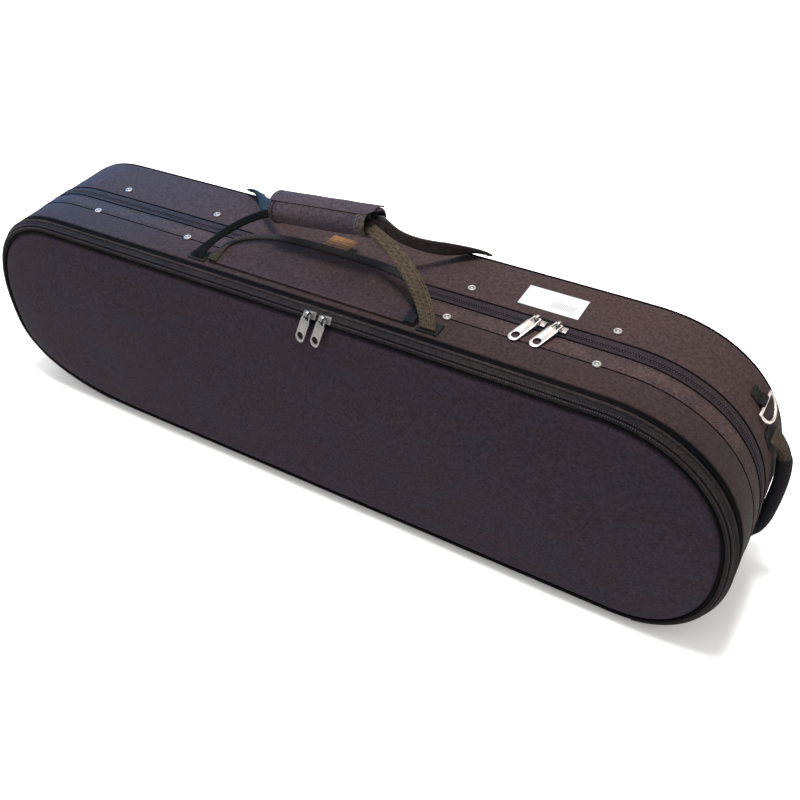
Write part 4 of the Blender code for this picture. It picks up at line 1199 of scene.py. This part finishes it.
# Gold tab: a folded piece of woven ribbon under the flap's edge
low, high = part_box("gold_tab")
tab_rows = []
for k in range(13):
    share = k / 12
    y = low.y + (high.y - low.y) * share
    lift = math.sin(share * math.pi * 0.9) * 0.9 * MM
    tab_rows.append([
        Vector((low.x + (high.x - low.x) * (a + 1) / 2, y, (low.z + high.z) / 2 + lift + b))
        for a, b in oval(1, 0.5 * MM, 20, 0.35)
    ])
stand_for(skin("gold_ribbon", tab_rows, gold_cloth, around=True, sharp=50), "gold_tab", "gold_tab")

# Padded wrap of the grip and the other soft pieces taken from the solids
soft = [
    ("grip_front_pad", "wrap_front", pad_cloth, 1.6 * MM, 6, "shell_fabric"),
    ("grip_back_pad", "wrap_back", pad_cloth, 1.6 * MM, 6, "shell_fabric"),
    ("violin_bed", "plush_bed", lining, 3 * MM, 4, "foam_lining"),
    ("lid_pad", "lid_quilt", lining, 2.4 * MM, 3, "foam_lining"),
    ("accessory_lid", "box_flap", lining, 1.2 * MM, 3, "foam_lining"),
    ("accessory_box", "box_liner", lining, 1.2 * MM, 1, "foam_lining"),
    ("bow_tip_pocket", "tip_sleeve", lining, 1.4 * MM, 2, "foam_lining"),
    ("neck_rest", "neck_cushion", lining, 1.5 * MM, 4, "foam_lining"),
    ("neck_strap", "neck_band", patch_cloth, 0.9 * MM, 2, "webbing"),
]
for node, name, material, voxel, smooth, slot in soft:
    stand_for(copy_of(node, name, material, voxel=voxel, smooth=smooth), slot, node)


# End handle: webbing that comes off the case, and a round sleeve over its middle

def end_point(side, height):
    """The point of one end at this height and the outward direction there, in (x, z)."""
    points = sorted((p for p in outline(0) if p.x * side > half_length / 2), key=lambda p: p.y)
    for lower, upper in zip(points, points[1:]):
        if lower.y <= height < upper.y:
            run = (upper - lower).normalized()
            return lower.lerp(upper, (height - lower.y) / (upper.y - lower.y)), Vector((run.y, -run.x)) * side


def shares_at(along):
    for before, after in zip(end_handle_shares, end_handle_shares[1:]):
        if along <= after[0]:
            t = (along - before[0]) / (after[0] - before[0])
            return before[1] + (after[1] - before[1]) * t, before[2] + (after[2] - before[2]) * t


def smoothed(values, rounds=4):
    for _ in range(rounds):
        values = [values[0]] + [
            (a + b * 2 + c) / 4 for a, b, c in zip(values, values[1:], values[2:])
        ] + [values[-1]]
    return values


web_lift = gap + 1.2 * MM + gap + end_web_thickness / 2
handle_slit = 5.2 * MM
handle_path = []
roundness = []
for k in range(61):
    away, rounder = shares_at(k / 60)
    spot, out = end_point(1, end_handle_top + (end_handle_bottom - end_handle_top) * k / 60)
    spot = spot + out * (web_lift + away * handle_slit)
    handle_path.append(Vector((spot.x, end_handle_from_parting, spot.y)))
    roundness.append(rounder)
handle_path = smoothed(handle_path)
roundness = smoothed(roundness)
handle_stations = []
sleeve_stations = []
for k, point in enumerate(handle_path):
    run = direction(handle_path, k)
    up = Vector((0, 1, 0)).cross(run).normalized()
    wide = end_web_half_width + (end_handle_radius - end_web_half_width) * roundness[k]
    thick = end_web_thickness / 2 + (end_handle_radius - end_web_thickness / 2) * roundness[k]
    shape = oval(wide - 0.5 * MM, thick - 0.4 * MM * roundness[k], 20, 1 - 0.45 * (1 - roundness[k]))
    handle_stations.append((point, Vector((0, 1, 0)), up, shape))
    if 10 <= k <= 53:
        lip = 0.5 * MM if k in (10, 53) else 0
        fuller = wide + (9.6 * MM - wide) * min((k - 10) / 12, 1) - 3 * MM * max((k - 26) / 27, 0)
        sleeve_stations.append((point, Vector((0, 1, 0)), up, oval(fuller - lip, thick - lip, 24, 0.85)))
stand_for(sweep("end_web", handle_stations, end_webbing, sharp=180), "webbing", "end_handle")
sleeve = add_on(sweep("end_sleeve", sleeve_stations, sleeve_cloth, sharp=60), "end_handle")

# Webbing folded round the straight bar of each D-ring and sewn down above it
for side, label in ((1, "right"), (-1, "left")):
    bar = Vector(joint_at[f"dring_{label}_swing"]["pos_m"])
    stations = []
    for k in range(19):
        rise = (k / 18) * 12 * MM
        spot, out = end_point(side, bar.z - 2.4 * MM + rise)
        fold = math.sqrt(max(1 - ((rise - 2.4 * MM) / (2.9 * MM)) ** 2, 0)) if rise < 5.3 * MM else 0
        half = max(0.75 * MM, 2.6 * MM * fold)
        middle = Vector((spot.x + out.x * (gap + half), 40.5 * MM, spot.y + out.y * (gap + half)))
        stations.append((middle, Vector((0, 1, 0)), Vector((out.x, 0, out.y)), oval(6.5 * MM, half, 24, 0.5)))
    stand_for(sweep(f"dring_{label}_fold", stations, patch_cloth, sharp=60), "webbing", f"dring_tab_{label}")

# Sewn tabs: webbing patches with a frame of stitches
patches = (
    ("handle_anchor_front_left", "z"), ("handle_anchor_front_right", "z"), ("handle_anchor_back_left", "y"),
    ("handle_anchor_back_right", "y"), ("end_handle_tab_top", ""), ("end_handle_tab_bottom", ""),
)
for node, way in patches:
    stand_for(copy_of(node, node + "_web", patch_cloth, bevel=0.4 * MM, sharp=60), "webbing", node)
    if not way:
        continue
    low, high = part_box(node)
    edge = 2 * MM
    if way == "z":
        level = high.z
        corners = [(low.x + edge, low.y + edge), (high.x - edge, low.y + edge), (high.x - edge, high.y - edge),
                   (low.x + edge, high.y - edge)]
        frame_line = [Vector((x, y, level)) for x, y in corners + corners[:1]]
        up = Vector((0, 0, 1))
    else:
        corners = [(low.x + edge, low.z + edge), (high.x - edge, low.z + edge), (high.x - edge, high.z - edge),
                   (low.x + edge, high.z - edge)]
        frame_line = [Vector((x, high.y, z)) for x, z in corners + corners[:1]]
        up = Vector((0, 1, 0))
    sewn = stitches(node + "_thread", frame_line, thread, lambda p, run: up, 2.6 * MM, 1.8 * MM)
    add_on(sewn, node)

# The wraps are inflated, then get their open end, seam column and hook-and-loop edge
wraps = [bpy.data.objects[name] for name in ("wrap_front", "wrap_back")]
puff([(obj, 4.0, 0.8 * MM) for obj in wraps], {obj.name: pad_cloth for obj in wraps})
for obj, end in zip(wraps, (grip_right, back_grip_right)):
    for vert in obj.data.vertices:
        away = Vector((vert.co.y / 11, (vert.co.z - grip_height(vert.co.x)) / 9.5)).length / MM
        if vert.co.x > end - 2 * MM and away < 1:
            vert.co.x -= 5 * MM * (1 - away**4)
    # The dent at the open end gets the near-black material: painted shade inside the opening.
    obj.data.materials.append(hollow_painted_shade)
    for face in obj.data.polygons:
        away = Vector((face.center.y / 11, (face.center.z - grip_height(face.center.x)) / 9.5)).length / MM
        if face.center.x > end - 7.5 * MM and away < 1.02:
            face.material_index = 1
for toward, node, label in ((1, "grip_front_pad", "front"), (-1, "grip_back_pad", "back")):
    column = wrap_line(grip_left + 6 * MM, 0.75 * MM, toward)
    add_on(tube(f"wrap_seam_{label}", column, 0.45 * MM, binding_cloth, 8), node)
    column = wrap_line(grip_left + 3 * MM, 0.5 * MM, toward)
    add_on(stitches(f"wrap_stitches_{label}", column, thread, from_grip, 3 * MM, 1.9 * MM), node)
strip = []
for k in range(25):
    line = []
    for n, x in enumerate((47.0, 48.5, 50, 51.5, 53, 54.5, 55.6)):
        ragged = noise.noise(Vector((k * 0.9, n * 1.3, 3.0))) * (1.3 if n in (0, 6) else 0.3)
        line.append((x + ragged, 0.95 + noise.noise(Vector((k * 1.7, n * 2.1, 9.0))) * 0.35))
    strip.append(line)
outer = []
for k, line in enumerate(strip):
    angle = -70 + 148 * k / 24
    rows = [wrap_line(x * MM, rise * MM, 1, angle, angle, 1)[0] for x, rise in line]
    rows += [wrap_line(x * MM, 0.1 * MM, 1, angle, angle, 1)[0] for x, rise in reversed(line)]
    outer.append(rows)
add_on(skin("wrap_loop_edge", outer, loop_pile, around=True, sharp=180), "grip_front_pad")

cover_rows = []
for k in range(49):
    x = grip_left + 1 * MM + (back_grip_right - grip_left - 2.5 * MM) * k / 48
    drop = 0.25 * MM * noise.noise(Vector((x * 60, 4.0, 1.0)))
    way = min(max((x - grip_right) / (back_grip_right - grip_right), 0), 1)
    outside = wrap_line(x, 1.5 * MM + drop, 1, 58 + 22 * way, 90, 8) + wrap_line(x, 1.5 * MM + drop, -1, 88, 40, 10)
    inside = wrap_line(x, 0.5 * MM, 1, 58 + 22 * way, 90, 8) + wrap_line(x, 0.5 * MM, -1, 88, 40, 10)
    cover_rows.append(outside + inside[::-1])
add_on(skin("wrap_cover", cover_rows, pad_cloth, around=True, sharp=60), "grip_front_pad")

# What stays as packed gets its finish
for node, material in (("sticker", paper), ("bow_spinner_1", black_plastic), ("bow_spinner_2", black_plastic)):
    data = frame["nodes"][node].data
    data.materials.clear()
    data.materials.append(material)

# Floor, light and camera
floor_mesh = bpy.data.meshes.new("floor")
reach = 6.0
floor_mesh.from_pydata([(-reach, -reach, 0), (reach, -reach, 0), (reach, reach, 0), (-reach, reach, 0)], [],
                       [(0, 1, 2, 3)])
floor = bpy.data.objects.new("floor", floor_mesh)
bpy.context.scene.collection.objects.link(floor)
ground = Shader("pale_floor", 0.8, specular=0.2)
tone = ground.noise(ground.coordinates("Object"), 3.0, 2.0)
ground.color(ground.ramp(tone, [(0.3, (0.90, 0.90, 0.90)), (0.7, (0.93, 0.93, 0.93))]))
floor_mesh.materials.append(ground.material)

world = bpy.data.worlds.new("studio")
world.use_nodes = True
world.node_tree.nodes["Background"].inputs["Color"].default_value = (1, 1, 1, 1)
world.node_tree.nodes["Background"].inputs["Strength"].default_value = 1.05
bpy.context.scene.world = world
bpy.context.scene.view_settings.view_transform = "Standard"


def softbox(name, place, aim, size, power, color=(1, 1, 1)):
    light = bpy.data.lights.new(name, "AREA")
    light.shape = "RECTANGLE"
    light.size, light.size_y = size
    light.energy = power
    light.color = color
    obj = bpy.data.objects.new(name, light)
    obj.location = place
    obj.rotation_euler = (Vector(aim) - Vector(place)).to_track_quat("-Z", "Y").to_euler()
    bpy.context.scene.collection.objects.link(obj)
    return obj


softbox("key", (0.1, -0.05, 2.0), (0, 0, 0.1), (0.35, 0.35), 55, (1.0, 0.97, 0.95))
softbox("rear", (-0.4, 0.8, 2.0), (0, 0, 0.1), (1.3, 1.3), 12, (1.0, 0.97, 0.95))
softbox("warm", (1.5, -0.3, 1.1), (0.3, 0, 0.15), (0.9, 0.9), 1.5, (1.0, 0.80, 0.58))
cool = softbox("cool", (-0.62, 0.12, 0.56), (-0.3, 0.03, 0.27), (0.3, 0.3), 4.6, (0.0, 0.35, 1.0))
off_floor = bpy.data.collections.new("off_floor")
off_floor.objects.link(floor)
off_floor.collection_objects[0].light_linking.link_state = "EXCLUDE"
cool.light_linking.receiver_collection = off_floor

lens = bpy.data.cameras.new("camera")
lens.sensor_width = 36
lens.lens = 883.325 / 800 * 36
lens.clip_start = 0.01
eye = bpy.data.objects.new("camera", lens)
right = Vector((0.8578, 0.5100, -0.0640))
down = Vector((0.3090, -0.6109, -0.7285))
ahead = Vector((-0.4107, 0.6051, -0.6817))
turned = Matrix((right, -down, -ahead)).transposed().to_4x4()
eye.matrix_world = Matrix.Translation((0.415, -0.512, 0.6695)) @ turned
bpy.context.scene.collection.objects.link(eye)
bpy.context.scene.camera = eye
